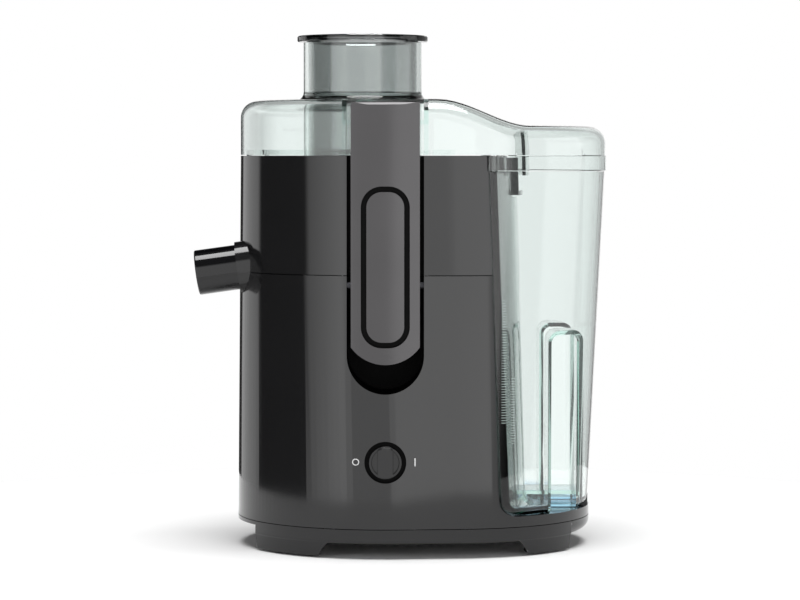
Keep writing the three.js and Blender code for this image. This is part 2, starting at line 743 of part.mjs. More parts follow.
function strainer() {
  const topRadius = basketRimRadius - 3.5;
  const bottomZ = graterZ;
  const topZ = basketRimZ - 4.8;
  return turned([
    [basketFootRadius - meshThickness, bottomZ],
    [basketFootRadius, bottomZ],
    [topRadius, topZ],
    [topRadius - meshThickness, topZ],
    [basketFootRadius - meshThickness, bottomZ],
  ], 48);
}

const basketRim = () =>
  turned([
    [basketRimRadius - 3, basketRimZ - rimHeight],
    [basketRimRadius, basketRimZ - rimHeight],
    [basketRimRadius, basketRimZ],
    [basketRimRadius - 6, basketRimZ],
    [basketRimRadius - 6, basketRimZ - 4.4],
    [basketRimRadius - 3, basketRimZ - 4.4],
    [basketRimRadius - 3, basketRimZ - rimHeight],
  ], 48);

// ---------------------------------------------------------------- bowl and spout
function juiceBowl() {
  const topZ = lidZ - gap;
  const outerWell = juiceRadius + channelWall;
  const slot = slotBlock(0, slotBackY, bowlZ - 1, lidZ + 1);
  const slotSkin = slotBlock(shellWall, slotBackY, bowlZ - 2, lidZ + 2);
  const stub = stubBar(stubRadius);
  const juiceWell = upright(juiceRadius, bowlFloorZ, lidZ + 1, 0, 0, 48);
  const lowRoom = column(shellWall, bowlZ - 1, pulpDeckZ - channelWall)
    .subtract(upright(outerWell, bowlFloorZ - bowlFloor, lidZ, 0, 0, 48))
    .subtract(slotSkin)
    .subtract(stub);
  const pulpWay = column(shellWall, pulpDeckZ, lidZ + 1)
    .subtract(hoop(juiceRadius, outerWell, pulpDeckZ - 1, pulpDeckZ + channelRise, 48))
    .subtract(slotSkin);
  const lipX = columnReach + pulpLipReach;
  const gate = box(columnReach - 20, lipX + 5, -pulpGateHalf, pulpGateHalf, pulpDeckZ, lidZ + 1);
  const lipBlock = box(columnReach - 16, lipX, -pulpGateHalf - channelWall, pulpGateHalf + channelWall,
    pulpDeckZ - channelWall, topZ - 1).intersect(columnBlock(pulpLipReach, bowlZ, lidZ));
  const lipFloor = box(columnReach - 16, lipX, -pulpGateHalf - 1, pulpGateHalf + 1,
    pulpDeckZ - channelWall, pulpDeckZ);
  const gateHollow = gate.subtract(lipFloor)
    .subtract(hoop(juiceRadius, outerWell, pulpDeckZ - 1, pulpDeckZ + channelRise, 48));
  let bowl = column(0, bowlZ, topZ).add(stub).subtract(juiceWell).subtract(lowRoom).subtract(pulpWay);
  bowl = bowl.subtract(slot).add(lipBlock.subtract(juiceWell)).subtract(gateHollow);
  const tubeOuter = hubTubeBore + channelWall;
  bowl = bowl.add(upright(tubeOuter, bowlFloorZ - bowlFloor, bowlFloorZ + hubTubeHeight, 0, 0, 28));
  bowl = bowl.subtract(upright(hubTubeBore, bowlZ - 1, bowlFloorZ + hubTubeHeight + 1, 0, 0, 28));
  bowl = bowl.subtract(rod(spoutPoint(stubOuterX - 5), spoutPoint(seatX + gap), spoutRadius + gap));
  return bowl.subtract(rod(spoutPoint(stubOuterX - 5), spoutPoint(drainEndX), spoutBore));
}

const juiceSpout = () =>
  rod(spoutPoint(-spoutReach), spoutPoint(seatX), spoutRadius, 28)
    .subtract(rod(spoutPoint(-spoutReach - 5), spoutPoint(seatX + 5), spoutBore, 28));

// ---------------------------------------------------------------- lid and pusher
const hoodFall = 15.2; // how much lower the lid is over the pulp container
const fallStart = 30; // where the lid's top starts to fall, from the motor axis
const fallEnd = endOffset + 48;
const lidRound = 10;
const lidRing = (inset, z) => ({
  front: roundEnds(bodyRadius - inset, lidEndRadius - inset, endOffset + lidOverhang),
  z,
});
const lidHeightAt = (x) => lidTopZ - hoodFall * THREE.MathUtils.smoothstep(x, fallStart, fallEnd);

// The lid's block, inset all round, with its top edge rounded.
function lidBlock(inset, bottomZ) {
  const round = lidRound - inset;
  const steps = 3;
  const rings = [lidRing(inset, bottomZ)];
  for (let i = 0; i <= steps; i++) {
    const angle = (Math.PI / 2) * (i / steps);
    const in2 = inset + round * (1 - Math.cos(angle));
    const drop = inset + round * (1 - Math.sin(angle));
    rings.push(lidRing(in2, (x) => lidHeightAt(x) - drop));
  }
  return loft(rings);
}

// The latch's pocket in the lid: a ledge that the hook lies over, and the slot in front of it.
function latchPocket(grow) {
  const far = -bodyRadius * 1.3;
  const upper = box(-slotHalf - grow, slotHalf + grow, far, pocketBackY + grow, ledgeZ - grow, lidTopZ + 20);
  const lower = box(-slotHalf - grow, slotHalf + grow, far, slotBackY + grow, hoodZ - 5, ledgeZ + 1);
  return upper.add(lower);
}

function lid() {
  const bodySide = columnBlock(slideGap, hoodZ - 20, lidZ);
  const hollow = lidBlock(clearWall, hoodZ - 1).subtract(latchPocket(clearWall));
  const shell = lidBlock(0, hoodZ).subtract(hollow).subtract(latchPocket(0)).subtract(bodySide);
  const flareSteps = 4;
  const flare = [[chuteRadius - 1, lidTopZ - 1], [chuteRadius + chuteFlare, lidTopZ - 1]];
  for (let i = 0; i <= flareSteps; i++) {
    const angle = (Math.PI / 2) * (i / flareSteps);
    const out = chuteFlare * (1 - Math.sin(angle));
    flare.push([chuteRadius + out, lidTopZ + chuteFlare * (1 - Math.cos(angle))]);
  }
  flare.push([chuteRadius - 1, lidTopZ + chuteFlare], [chuteRadius - 1, lidTopZ - 1]);
  const baffleHalf = pulpGateHalf + 2;
  const baffle = columnBlock(pulpLipReach + 4.5, hoodZ - 3, lidTopZ)
    .subtract(columnBlock(pulpLipReach + 2.5, hoodZ - 4, lidTopZ + 1))
    .intersect(box(0, 200, -baffleHalf, baffleHalf, hoodZ - 3, lidTopZ))
    .intersect(lidBlock(clearWall / 2, hoodZ - 3));
  return shell
    .add(baffle)
    .add(turned(flare, 40, chuteX))
    .add(upright(chuteRadius, chuteBottomZ, chuteTopZ, chuteX, 0, 40))
    .subtract(upright(chuteRadius - chuteWall, chuteBottomZ - 1, chuteTopZ + 1, chuteX, 0, 40));
}

function pusher() {
  const outer = chuteRadius - chuteWall - pusherGap;
  const bottomZ = chuteBottomZ + 2;
  const flangeZ = chuteTopZ + gap;
  return turned([
    [0, bottomZ],
    [outer - 2, bottomZ],
    [outer, bottomZ + 2],
    [outer, flangeZ],
    [pusherFlangeRadius, flangeZ],
    [pusherFlangeRadius, flangeZ + pusherFlange],
    [outer - pusherWall, flangeZ + pusherFlange],
    [outer - pusherWall, bottomZ + pusherWall],
    [0, bottomZ + pusherWall],
  ], 40, chuteX);
}

// ---------------------------------------------------------------- pulp container
function containerRing(inset, z) {
  const share = (z - shelfZ) / (hoodZ - shelfZ);
  return { front: roundEnds(bodyRadius - inset, lidEndRadius - inset, endOffset + lidOverhang * share), z };
}

function containerBlock(inset, round, z0, z1) {
  const rings = [containerRing(inset + round, z0)];
  rings.push(containerRing(inset + round * 0.3, z0 + round * 0.3));
  rings.push(containerRing(inset, z0 + round));
  rings.push(containerRing(inset, z1));
  return loft(rings);
}

// Finger pockets that pinch a web out of the container's right end, grown by grow.
function gripPockets(grow) {
  const endX = endOffset + lidEndRadius - gripFromEnd;
  const middleX = endX - gripWidth / 2;
  const half = gripWidth / 2 + grow;
  const round = gripCorner + grow;
  const archZ = shelfZ + gripHeight + grow - round;
  const shape = new THREE.Shape();
  shape.moveTo(middleX - half, shelfZ - 5);
  shape.lineTo(middleX + half, shelfZ - 5);
  shape.lineTo(middleX + half, archZ);
  shape.absarc(middleX + half - round, archZ, round, 0, Math.PI / 2, false);
  shape.absarc(middleX - half + round, archZ, round, Math.PI / 2, Math.PI, false);
  const front = fromFront(shape, -bodyRadius * 1.3, -gripHalfWeb + grow);
  return front.add(fromFront(shape, gripHalfWeb - grow, bodyRadius * 1.3));
}

function pulpContainer() {
  const edgeInset = 0.4;
  const bottomZ = shelfZ + gap;
  const topZ = hoodZ - slideGap;
  const lowWallZ = pulpDeckZ - channelWall - lipClearance;
  const tunnel = (grow) => {
    const half = tabHalf + tunnelGap + grow;
    return box(0, 200, -half, half, 0, shelfZ + tabHeight + tunnelGap + grow);
  };
  const hollow = containerBlock(edgeInset + clearWall, containerRound - 1, bottomZ + containerFloor, topZ + 1)
    .subtract(columnBlock(slideGap + clearWall, shelfZ - 2, lidZ))
    .subtract(gripPockets(clearWall))
    .subtract(tunnel(clearWall));
  const outside = containerBlock(edgeInset, containerRound, bottomZ, topZ)
    .subtract(columnBlock(slideGap, shelfZ - 2, lidZ))
    .subtract(gripPockets(0))
    .subtract(tunnel(0));
  const gateHalf = pulpGateHalf + channelWall + 4;
  const gate = box(columnReach - 10, columnReach + 14, -gateHalf, gateHalf, lowWallZ, lidZ);
  return outside.subtract(hollow).subtract(gate);
}

// ---------------------------------------------------------------- latch
// A tall outline with arched ends: half its width, its ends' heights and the radius of the arches.
function archedBar(half, lowZ, highZ, radius) {
  const steps = 8;
  const points = [];
  const spread = Math.asin(half / radius);
  for (let i = 0; i <= steps; i++) {
    const angle = -spread + (2 * spread * i) / steps;
    points.push([radius * Math.sin(angle), lowZ + radius * (1 - Math.cos(angle))]);
  }
  for (let i = 0; i <= steps; i++) {
    const angle = spread - (2 * spread * i) / steps;
    points.push([radius * Math.sin(angle), highZ - radius * (1 - Math.cos(angle))]);
  }
  return shapeOf(points);
}

const latchFace = (inset) => upright(-latchFrontY - inset, 0, lidTopZ + 10, 0, 0, 96);
const padShape = (inset) =>
  archedBar(padRecessWidth / 2 - inset, bowlZ - padLow + inset, bowlZ + padHigh - inset, padArc - inset);

function latchArm() {
  const half = latchWidth / 2;
  const tailZ = bowlZ - latchTail;
  const shape = archedBar(half, tailZ, latchTopZ + 30, tailArc);
  const crown = 1;
  const crownRadius = (half * half) / (2 * crown);
  const top = archedBar(half, tailZ - 60, latchTopZ, crownRadius);
  const hookBackY = slotBackY + hookReach;
  const side = [
    [latchFrontY - 2, tailZ - 1],
    [latchBackY, tailZ - 1],
    [latchBackY, hookUnderZ],
    [hookBackY, hookUnderZ],
    [hookBackY, latchTopZ + 2],
    [latchFrontY - 2, latchTopZ + 2],
  ];
  return fromSide(side, -half, half)
    .add(rod([-half, pivotY, pivotZ], [half, pivotY, pivotZ], latchBossRadius, 32))
    .intersect(fromFront(shape, latchFrontY - 5, hookBackY + 5))
    .intersect(fromFront(top, latchFrontY - 5, hookBackY + 5))
    .intersect(latchFace(0))
    .subtract(fromFront(padShape(0), latchFrontY - 5, latchFrontY + padDepth))
    .subtract(rod([-half - 1, pivotY, pivotZ], [half + 1, pivotY, pivotZ], pinRadius + gap, 20));
}

const latchPad = () =>
  fromFront(padShape(padGroove), latchFrontY - 5, latchFrontY + padDepth - gap).intersect(latchFace(0.3));

const latchPin = () =>
  rod([-slotHalf - 2.2, pivotY, pivotZ], [slotHalf + 2.2, pivotY, pivotZ], pinRadius, 20);

// ---------------------------------------------------------------- controls
const knobFaceY = -(bodyRadius + draftAt(knobZ));
const recessFloorY = knobFaceY + knobRecessDepth;

function knob() {
  const backY = recessFloorY - gap;
  const bar = fromFront(
    archedBar(knobBarWidth / 2, knobZ - knobRadius + 0.4, knobZ + knobRadius - 0.4, knobBarWidth),
    knobFaceY - knobStandOut,
    backY - 1,
  );
  return rod([0, knobFaceY - 1, knobZ], [0, backY, knobZ], knobRadius, 32)
    .add(bar)
    .subtract(rod([0, backY + 1, knobZ], [0, knobFaceY - 3, knobZ], knobShaftRadius + gap, 20));
}

const switchY = recessFloorY + 2.4 + gap;
const knobShaft = () =>
  rod([0, knobFaceY - 2.6, knobZ], [0, switchY + switchDepth - 5, knobZ], knobShaftRadius, 20);

const rotarySwitch = () =>
  rod([0, switchY, knobZ], [0, switchY + switchDepth, knobZ], switchRadius, 32)
    .add(box(-switchRadius, switchRadius, switchY + 4, switchY + switchDepth - 1, knobZ - 6, knobZ + 6))
    .subtract(rod([0, switchY - 1, knobZ], [0, switchY + switchDepth - 4, knobZ], knobShaftRadius + gap, 20));

const interlockX = slotHalf + shellWall + gap;
const interlockSwitch = () =>
  box(interlockX, interlockX + 6.4, pivotY + 10, pivotY + 30, pivotZ - 32, pivotZ - 22)
    .add(box(interlockX + 1, interlockX + 5.4, pivotY + 12, pivotY + 14, pivotZ - 36, pivotZ - 31))
    .add(box(interlockX + 1, interlockX + 5.4, pivotY + 25, pivotY + 27, pivotZ - 36, pivotZ - 31));

function cordGland() {
  const z = baseZ + glandRise;
  const faceY = (bodyRadius + draftAt(z)) * 1.002;
  return rod([glandX, faceY - 8, z], [glandX, faceY + gap + 1, z], glandRadius, 24)
    .add(rod([glandX, faceY + gap, z], [glandX, faceY + gap + 2.6, z], glandFlange, 24))
    .subtract(rod([glandX, faceY - 10, z], [glandX, faceY + 10, z], glandBore, 20));
}

// ---------------------------------------------------------------- assembly
const juicer = new THREE.Group();

function place(name, solid, material) {
  const { vertProperties, triVerts } = solid.getMesh();
  const geometry = new THREE.BufferGeometry();
  geometry.setAttribute('position', new THREE.BufferAttribute(vertProperties, 3));
  geometry.setIndex(new THREE.BufferAttribute(triVerts, 1));
  geometry.computeVertexNormals();
  const mesh = new THREE.Mesh(geometry, material);
  mesh.name = name;
  juicer.add(mesh);
}

place('base_housing', baseHousing(), charcoal);
place('bottom_cover', bottomCover(), black);
const corners = ['front_left', 'front_right', 'rear_left', 'rear_right'];
footPlaces().forEach((at, i) => place(`foot_${corners[i]}`, footPad(at), rubber));
postPlaces.forEach((at, i) => place(`cover_screw_${i + 1}`, coverScrew(at), steel));
place('motor_can', motorCan(), darkSteel);
place('motor_bracket', motorBracket(), darkSteel);
place('motor_cushion', motorCushion(), rubber);
place('bearing_upper', bearing(upperBearingZ), steel);
place('bearing_lower', bearing(lowerBearingZ - bearingHeight), steel);
place('stator_stack', stator(), darkSteel);
place('winding_upper', winding(stackZ + stackHeight + gap), copper);
place('winding_lower', winding(stackZ - windingHeight), copper);
for (const [label, side] of [['left', -1], ['right', 1]]) {
  place(`brush_holder_${label}`, brushHolder(side), nylon);
  place(`carbon_brush_${label}`, carbonBrush(side), black);
}
place('shaft_seal', shaftSeal(), rubber);
place('rotary_switch', rotarySwitch(), nylon);
place('interlock_switch', interlockSwitch(), black);
place('cord_gland', cordGland(), rubber);
place('latch_pin', latchPin(), steel);
place('juice_bowl', juiceBowl(), charcoal);
place('juice_spout', juiceSpout(), black);
place('rotor_shaft', rotorShaft(), steel);
place('armature', armature(), darkSteel);
place('commutator', commutator(), copper);
place('cooling_fan', coolingFan(), nylon);
place('drive_coupling', driveCoupling(), nylon);
place('basket_hub', basketHub(), black);
place('grater_disc', graterDisc(), steel);
place('strainer', strainer(), steel);
place('basket_rim', basketRim(), black);
place('lid', lid(), clear);
place('pusher', pusher(), smoke);
place('pulp_container', pulpContainer(), clear);
place('latch_arm', latchArm(), satinCharcoal);
place('latch_pad', latchPad(), satinCharcoal);
place('knob', knob(), black);
place('knob_shaft', knobShaft(), steel);

const extent = new THREE.Box3().setFromObject(juicer);
const middle = extent.getCenter(new THREE.Vector3());
juicer.position.set(-middle.x, -middle.y, -extent.min.z);

export default juicer;
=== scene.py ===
"""The looks of a centrifugal juicer: polished charcoal base and bowl, satin latch, clear lid and pulp
container, smoke-grey pusher. Heights and places are in millimetres from the motor's axis and the worktop,
and at() turns them into the frame's metres."""
import json
import math
import bpy
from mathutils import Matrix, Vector


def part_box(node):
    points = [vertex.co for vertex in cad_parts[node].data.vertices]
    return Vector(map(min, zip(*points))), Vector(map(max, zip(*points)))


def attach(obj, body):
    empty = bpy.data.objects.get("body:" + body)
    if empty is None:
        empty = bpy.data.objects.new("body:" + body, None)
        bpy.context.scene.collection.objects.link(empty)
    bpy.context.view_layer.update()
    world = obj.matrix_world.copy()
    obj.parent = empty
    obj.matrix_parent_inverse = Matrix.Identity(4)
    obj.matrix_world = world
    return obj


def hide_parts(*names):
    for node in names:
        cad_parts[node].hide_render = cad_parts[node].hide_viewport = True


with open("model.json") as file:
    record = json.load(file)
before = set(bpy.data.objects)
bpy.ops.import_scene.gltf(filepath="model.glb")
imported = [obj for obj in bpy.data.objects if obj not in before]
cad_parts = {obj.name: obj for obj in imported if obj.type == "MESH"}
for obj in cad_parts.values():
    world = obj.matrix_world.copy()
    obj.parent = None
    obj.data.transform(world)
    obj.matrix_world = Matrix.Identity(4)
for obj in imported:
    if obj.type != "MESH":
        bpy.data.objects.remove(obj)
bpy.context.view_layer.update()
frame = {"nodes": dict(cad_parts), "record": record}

# ------------------------------------------------------------------ places taken from the frame, in mm
MM = 0.001
shaft_low, shaft_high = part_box("rotor_shaft")
AXIS = (shaft_low + shaft_high) / 2


def height_of(node, top):
    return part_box(node)[1 if top else 0].z / MM


COVER_SEAM = height_of("base_housing", False)
BOWL_SEAM = height_of("base_housing", True) + 0.4
LID_SEAM = height_of("juice_bowl", True) + 0.4
CHUTE_TOP = height_of("lid", True)
LATCH_TOP = height_of("latch_arm", True)
LATCH_TAIL = height_of("latch_arm", False)
CHUTE_BOTTOM = height_of("lid", False)
LID_TOP = LATCH_TOP + 1.2
SHELF = COVER_SEAM + 5.9
HOOD = LID_SEAM - 9
SKIRT = COVER_SEAM - 8.7
DECK = BOWL_SEAM - 14.2
PULP_DECK = LID_SEAM - 21
BOWL_FLOOR = BOWL_SEAM + 4.8
KNOB_Z = (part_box("knob")[0].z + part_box("knob")[1].z) / 2 / MM

# ------------------------------------------------------------------ sizes, in mm
SHELL = 2.8
CLEAR_WALL = 2.5
BODY_R = 86.8
DRAFT = 2.0
END_R = 85.8
END_X = 36.0
LID_SHIFT = 10.0
LID_END_R = 85.2
COLUMN_REACH = 74.5
COLUMN_LEAN = 6.0
BOW_R = 228.0
SHELF_FILLET = 9.0
JUICE_R = 72.0
CHANNEL_WALL = 2.5
GATE_HALF = 42.0
LIP_REACH = 6.5
SLOT_HALF = 22.15
LATCH_FRONT = -88.8
LATCH_HALF = 19.75
SLOT_BACK = -76.6
BASE_SLOT_BACK = -74.0
WELL_BACK = -46.0
PIVOT_Y = -81.5
PIVOT_Z = BOWL_SEAM - 5.9
WELL_BOTTOM = BOWL_SEAM - 68.2
CHUTE_X = -13.9
CHUTE_R = 35.3
CHUTE_BORE = 32.9
ARC_STEPS = 40
STRAIGHT_STEPS = 10


def at(x, y, z):
    """A point in millimetres from the motor's axis, in the frame's metres."""
    return Vector((AXIS.x + x * MM, AXIS.y + y * MM, z * MM))


# ------------------------------------------------------------------ camera
VIEW_DISTANCE = 1.786
VIEW_HEIGHT = 0.232
VIEW_RIGHT = 8.4
VIEW_DOWN = math.radians(2.79)
LENS = 134
SENSOR = 36

bpy.ops.object.select_all(action="DESELECT")
camera_data = bpy.data.cameras.new("camera")
camera_data.lens = LENS
camera_data.sensor_width = SENSOR
camera = bpy.data.objects.new("camera", camera_data)
camera.location = (AXIS.x + VIEW_RIGHT * MM, AXIS.y - VIEW_DISTANCE, VIEW_HEIGHT)
camera.rotation_euler = (math.pi / 2 - VIEW_DOWN, 0, 0)
bpy.context.scene.collection.objects.link(camera)
bpy.context.scene.camera = camera


# ------------------------------------------------------------------ bench tools
def only(*pieces):
    bpy.ops.object.select_all(action="DESELECT")
    for piece in pieces:
        piece.select_set(True)
    bpy.context.view_layer.objects.active = pieces[0]


def settled(name):
    """Names the piece just added and leaves its place in its mesh."""
    piece = bpy.context.object
    piece.name = name
    piece.data.name = name
    only(piece)
    bpy.ops.object.transform_apply(location=True, rotation=True, scale=True)
    return piece


def new_mesh(name, points, faces):
    mesh = bpy.data.meshes.new(name)
    mesh.from_pydata(points, [], faces)
    piece = bpy.data.objects.new(name, mesh)
    bpy.context.scene.collection.objects.link(piece)
    return piece


def face_out(piece):
    only(piece)
    bpy.ops.object.mode_set(mode="EDIT")
    bpy.ops.mesh.select_all(action="SELECT")
    bpy.ops.mesh.remove_doubles(threshold=1e-6)
    bpy.ops.mesh.normals_make_consistent(inside=False)
    bpy.ops.object.mode_set(mode="OBJECT")
    return piece


def work(piece, other, operation):
    only(piece)
    step = piece.modifiers.new("work", "BOOLEAN")
    step.operation = operation
    step.solver = "EXACT"
    step.object = other
    bpy.ops.object.modifier_apply(modifier=step.name)
    bpy.data.objects.remove(other)
    return piece


def cut(piece, *cutters):
    for cutter in cutters:
        work(piece, cutter, "DIFFERENCE")
    return piece


def join(piece, *others):
    for other in others:
        work(piece, other, "UNION")
    return piece


def keep(piece, other):
    return work(piece, other, "INTERSECT")


def soften(piece, width, steps=3, sharper_than=32):
    """Rounds the sharp edges, then shades the faces smooth up to them."""
    only(piece)
    bevel = piece.modifiers.new("edges", "BEVEL")
    bevel.width = width * MM
    bevel.segments = steps
    bevel.limit_method = "ANGLE"
    bevel.angle_limit = math.radians(sharper_than)
    bevel.use_clamp_overlap = True
    bevel.miter_outer = "MITER_ARC"
    bpy.ops.object.modifier_apply(modifier=bevel.name)
    return smooth(piece)


def smooth(piece, angle=34):
    """Shades smooth up to sharp edges, the large faces keeping their own direction."""
    only(piece)
    bpy.ops.object.shade_smooth_by_angle(angle=math.radians(angle))
    weight = piece.modifiers.new("normals", "WEIGHTED_NORMAL")
    weight.mode = "FACE_AREA"
    weight.weight = 100
    weight.keep_sharp = True
    bpy.ops.object.modifier_apply(modifier=weight.name)
    return piece


def block(name, x0, x1, y0, y1, z0, z1):
    middle = at((x0 + x1) / 2, (y0 + y1) / 2, (z0 + z1) / 2)
    size = ((x1 - x0) * MM, (y1 - y0) * MM, (z1 - z0) * MM)
    bpy.ops.mesh.primitive_cube_add(size=1, location=middle, scale=size)
    return settled(name)


def bar(name, start, end, radius, sides=64):
    """A round bar between two points in mm."""
    a, b = at(*start), at(*end)
    along = b - a
    bpy.ops.mesh.primitive_cylinder_add(
        vertices=sides,
        radius=radius * MM,
        depth=along.length,
        location=(a + b) / 2,
        rotation=along.to_track_quat("Z", "Y").to_euler(),
    )
    return settled(name)


def upright(name, radius, z0, z1, x=0.0, y=0.0, sides=96):
    return bar(name, (x, y, z0), (x, y, z1), radius, sides)


def turned(name, profile, x=0.0, y=0.0, steps=96):
    """Spins a chain of [radius, height] points about the upright line through x, y."""
    points = [at(x + radius, y, z) for radius, z in profile]
    piece = new_mesh(name, points, [])
    piece.data.edges.add(len(points) - 1)
    for i, edge in enumerate(piece.data.edges):
        edge.vertices = (i, i + 1)
    only(piece)
    bpy.ops.object.mode_set(mode="EDIT")
    bpy.ops.mesh.select_all(action="SELECT")
    bpy.ops.mesh.spin(steps=steps, angle=math.tau, center=at(x, y, 0), axis=(0, 0, 1))
    bpy.ops.object.mode_set(mode="OBJECT")
    return face_out(piece)


def front_plate(name, outline, y0, y1):
    """An outline of [x, z] points on the front elevation, extruded from y0 back to y1."""
    piece = new_mesh(name, [at(x, y0, z) for x, z in outline], [tuple(range(len(outline)))])
    only(piece)
    bpy.ops.object.mode_set(mode="EDIT")
    bpy.ops.mesh.select_all(action="SELECT")
    bpy.ops.mesh.extrude_region_move(TRANSFORM_OT_translate={"value": (0, (y1 - y0) * MM, 0)})
    bpy.ops.object.mode_set(mode="OBJECT")
    return face_out(piece)


def side_plate(name, outline, x0, x1):
    """An outline of [y, z] points on the side elevation, extruded from x0 across to x1."""
    piece = new_mesh(name, [at(x0, y, z) for y, z in outline], [tuple(range(len(outline)))])
    only(piece)
    bpy.ops.object.mode_set(mode="EDIT")
    bpy.ops.mesh.select_all(action="SELECT")
    bpy.ops.mesh.extrude_region_move(TRANSFORM_OT_translate={"value": ((x1 - x0) * MM, 0, 0)})
    bpy.ops.object.mode_set(mode="OBJECT")
    return face_out(piece)


def arc(cx, cz, radius, start, stop, steps):
    """Points on an arc, by angles in degrees."""
    return [
        (cx + radius * math.cos(math.radians(a)), cz + radius * math.sin(math.radians(a)))
        for a in [start + (stop - start) * i / steps for i in range(steps + 1)]
    ]


def arched(half, low, high, radius, steps=16):
    """A tall bar's outline with both ends arched."""
    spread = math.degrees(math.asin(half / radius))
    bottom = arc(0, low + radius, radius, 270 - spread, 270 + spread, steps)
    return bottom + arc(0, high - radius, radius, 90 - spread, 90 + spread, steps)


# ------------------------------------------------------------------ the body's outline
def round_ends(left_r, right_r, end_x):
    """Front half of the outline, from its leftmost point to its rightmost."""
    tilt = math.asin((left_r - right_r) / end_x)
    quarter = math.pi / 2
    left = [math.pi + (quarter + tilt) * i / ARC_STEPS for i in range(ARC_STEPS + 1)]
    right = [-quarter + tilt + (quarter - tilt) * i / ARC_STEPS for i in range(ARC_STEPS + 1)]
    points = [(left_r * math.cos(a), left_r * math.sin(a)) for a in left]
    stop = (end_x + right_r * math.cos(right[0]), right_r * math.sin(right[0]))
    start = points[-1]
    for i in range(1, STRAIGHT_STEPS):
        share = i / STRAIGHT_STEPS
        points.append((start[0] + (stop[0] - start[0]) * share, start[1] + (stop[1] - start[1]) * share))
    return points + [(end_x + right_r * math.cos(a), right_r * math.sin(a)) for a in right]


def stacked(name, rings):
    """A block through stacked rings of (front half outline, height); a height may also be a function of x."""
    around = 2 * (len(rings[0][0]) - 1)
    half = around // 2
    points = []
    for front, z in rings:
        back = [(x, -y) for x, y in front[-2:0:-1]]
        points += [at(x, y, z(x) if callable(z) else z) for x, y in front + back]
    faces = []
    for level in range(len(rings) - 1):
        low = level * around
        for i in range(around):
            j = (i + 1) % around
            faces.append((low + i, low + j, low + around + j, low + around + i))
    top = (len(rings) - 1) * around
    for i in range(half):
        a, b = (around - i) % around, around - i - 1
        ring = [i, i + 1, b, a]
        ring = [v for k, v in enumerate(ring) if v not in ring[:k]]
        faces.append(tuple(reversed(ring)))
        faces.append(tuple(top + v for v in ring))
    return new_mesh(name, points, faces)


def body_ring(inset, z):
    draft = DRAFT * (LID_SEAM - z) / (LID_SEAM - COVER_SEAM)
    return round_ends(BODY_R + draft - inset, END_R - inset, END_X), z


def body_block(inset, z0, z1):
    return stacked("block", [body_ring(inset, z0), body_ring(inset, z1)])


def bowed(offset, z0, z1):
    """Everything left of the column's bowed and leaning right wall, with its hollow corner at the shelf."""
    round_r = max(SHELF_FILLET - offset, 0.4)

    def ring(z):
        lean = COLUMN_LEAN * (LID_SEAM - z) / (LID_SEAM - SHELF)
        drop = min(max(SHELF + SHELF_FILLET - z, 0), round_r)
        radius = BOW_R + offset + round_r - math.sqrt(round_r * round_r - drop * drop)
        centre = COLUMN_REACH + lean - BOW_R
        spread = math.asin(120 / radius)
        angles = [-spread * (1 - i / ARC_STEPS) for i in range(ARC_STEPS + 1)]
        wall = [(centre + radius * math.cos(a), radius * math.sin(a)) for a in angles]
        return [(-181, 0), (-180, -120)] + wall, z

    corner = [SHELF + SHELF_FILLET - round_r * math.cos(math.pi / 2 * i / 10) for i in range(11)]
    return stacked("bow", [ring(z) for z in [z0] + corner + [z1] if z0 <= z <= z1])


def column(inset, z0, z1):
    return keep(body_block(inset, z0, z1), bowed(-inset, z0 - 1, z1 + 1))


AHEAD = -120


def slot(grow, back, z0, z1):
    """Everything in front of the latch's slot, from ahead of the body to the slot's back."""
    return block("slot", -SLOT_HALF - grow, SLOT_HALF + grow, AHEAD, back + grow, z0, z1)


def finger_well(grow):
    half = SLOT_HALF + grow
    top = PIVOT_Z - 1.3 + grow
    centre = WELL_BOTTOM + SLOT_HALF
    outline = [(half, top), (-half, top)] + arc(0, centre, half, 180, 360, 32)
    return front_plate("well", outline, AHEAD, WELL_BACK + grow)


SPOUT_Y = -21.0
SPOUT_SLOPE = math.tan(math.radians(8))
SPOUT_LEFT = -84.9
SPOUT_END = -112
SPOUT_SEAT = -73.7
SPOUT_R = 13.3
SPOUT_BORE = 11
SPOUT_SOCKET = 15
GAP = 0.4


def spout_point(x):
    return x, SPOUT_Y, BOWL_SEAM + 2.8 + (x - SPOUT_LEFT) * SPOUT_SLOPE


def spout_bar(radius, x0, x1):
    return bar("spout_bar", spout_point(x0), spout_point(x1), radius)


def paint_recess_shade(piece, finish, inside):
    """Paints shade into the moulding's recesses: gives the faces whose middle is inside() a rougher finish
    whose near-black colour and weak reflection are painted shade.
    """
    piece.data.materials.append(finish)
    for face in piece.data.polygons:
        middle = (face.center - Vector((AXIS.x, AXIS.y, 0))) / MM
        if inside(middle, face.normal):
            face.material_index = 1


def show(piece, body, slot_name, finish, *nodes):
    """Gives a finished piece its material and its place in the frame."""
    piece.data.materials.clear()
    piece.data.materials.append(finish)
    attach(piece, body)
    if nodes:
        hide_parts(*nodes)
    return piece


# ------------------------------------------------------------------ shader wiring
class Flow:
    """One socket's value, with the arithmetic that adds Math nodes."""

    def __init__(self, tree, socket):
        self.tree = tree
        self.socket = socket

    def math(self, operation, *inputs):
        node = self.tree.nodes.new("ShaderNodeMath")
        node.operation = operation
        for i, value in enumerate(inputs):
            if isinstance(value, Flow):
                self.tree.links.new(value.socket, node.inputs[i])
            else:
                node.inputs[i].default_value = value
        return Flow(self.tree, node.outputs[0])

    def __add__(self, other):
        return self.math("ADD", self, other)

    def __radd__(self, other):
        return self.math("ADD", other, self)

    def __sub__(self, other):
        return self.math("SUBTRACT", self, other)

    def __rsub__(self, other):
        return self.math("SUBTRACT", other, self)

    def __mul__(self, other):
        return self.math("MULTIPLY", self, other)

    def __rmul__(self, other):
        return self.math("MULTIPLY", other, self)

    def __lt__(self, other):
        return self.math("LESS_THAN", self, other)


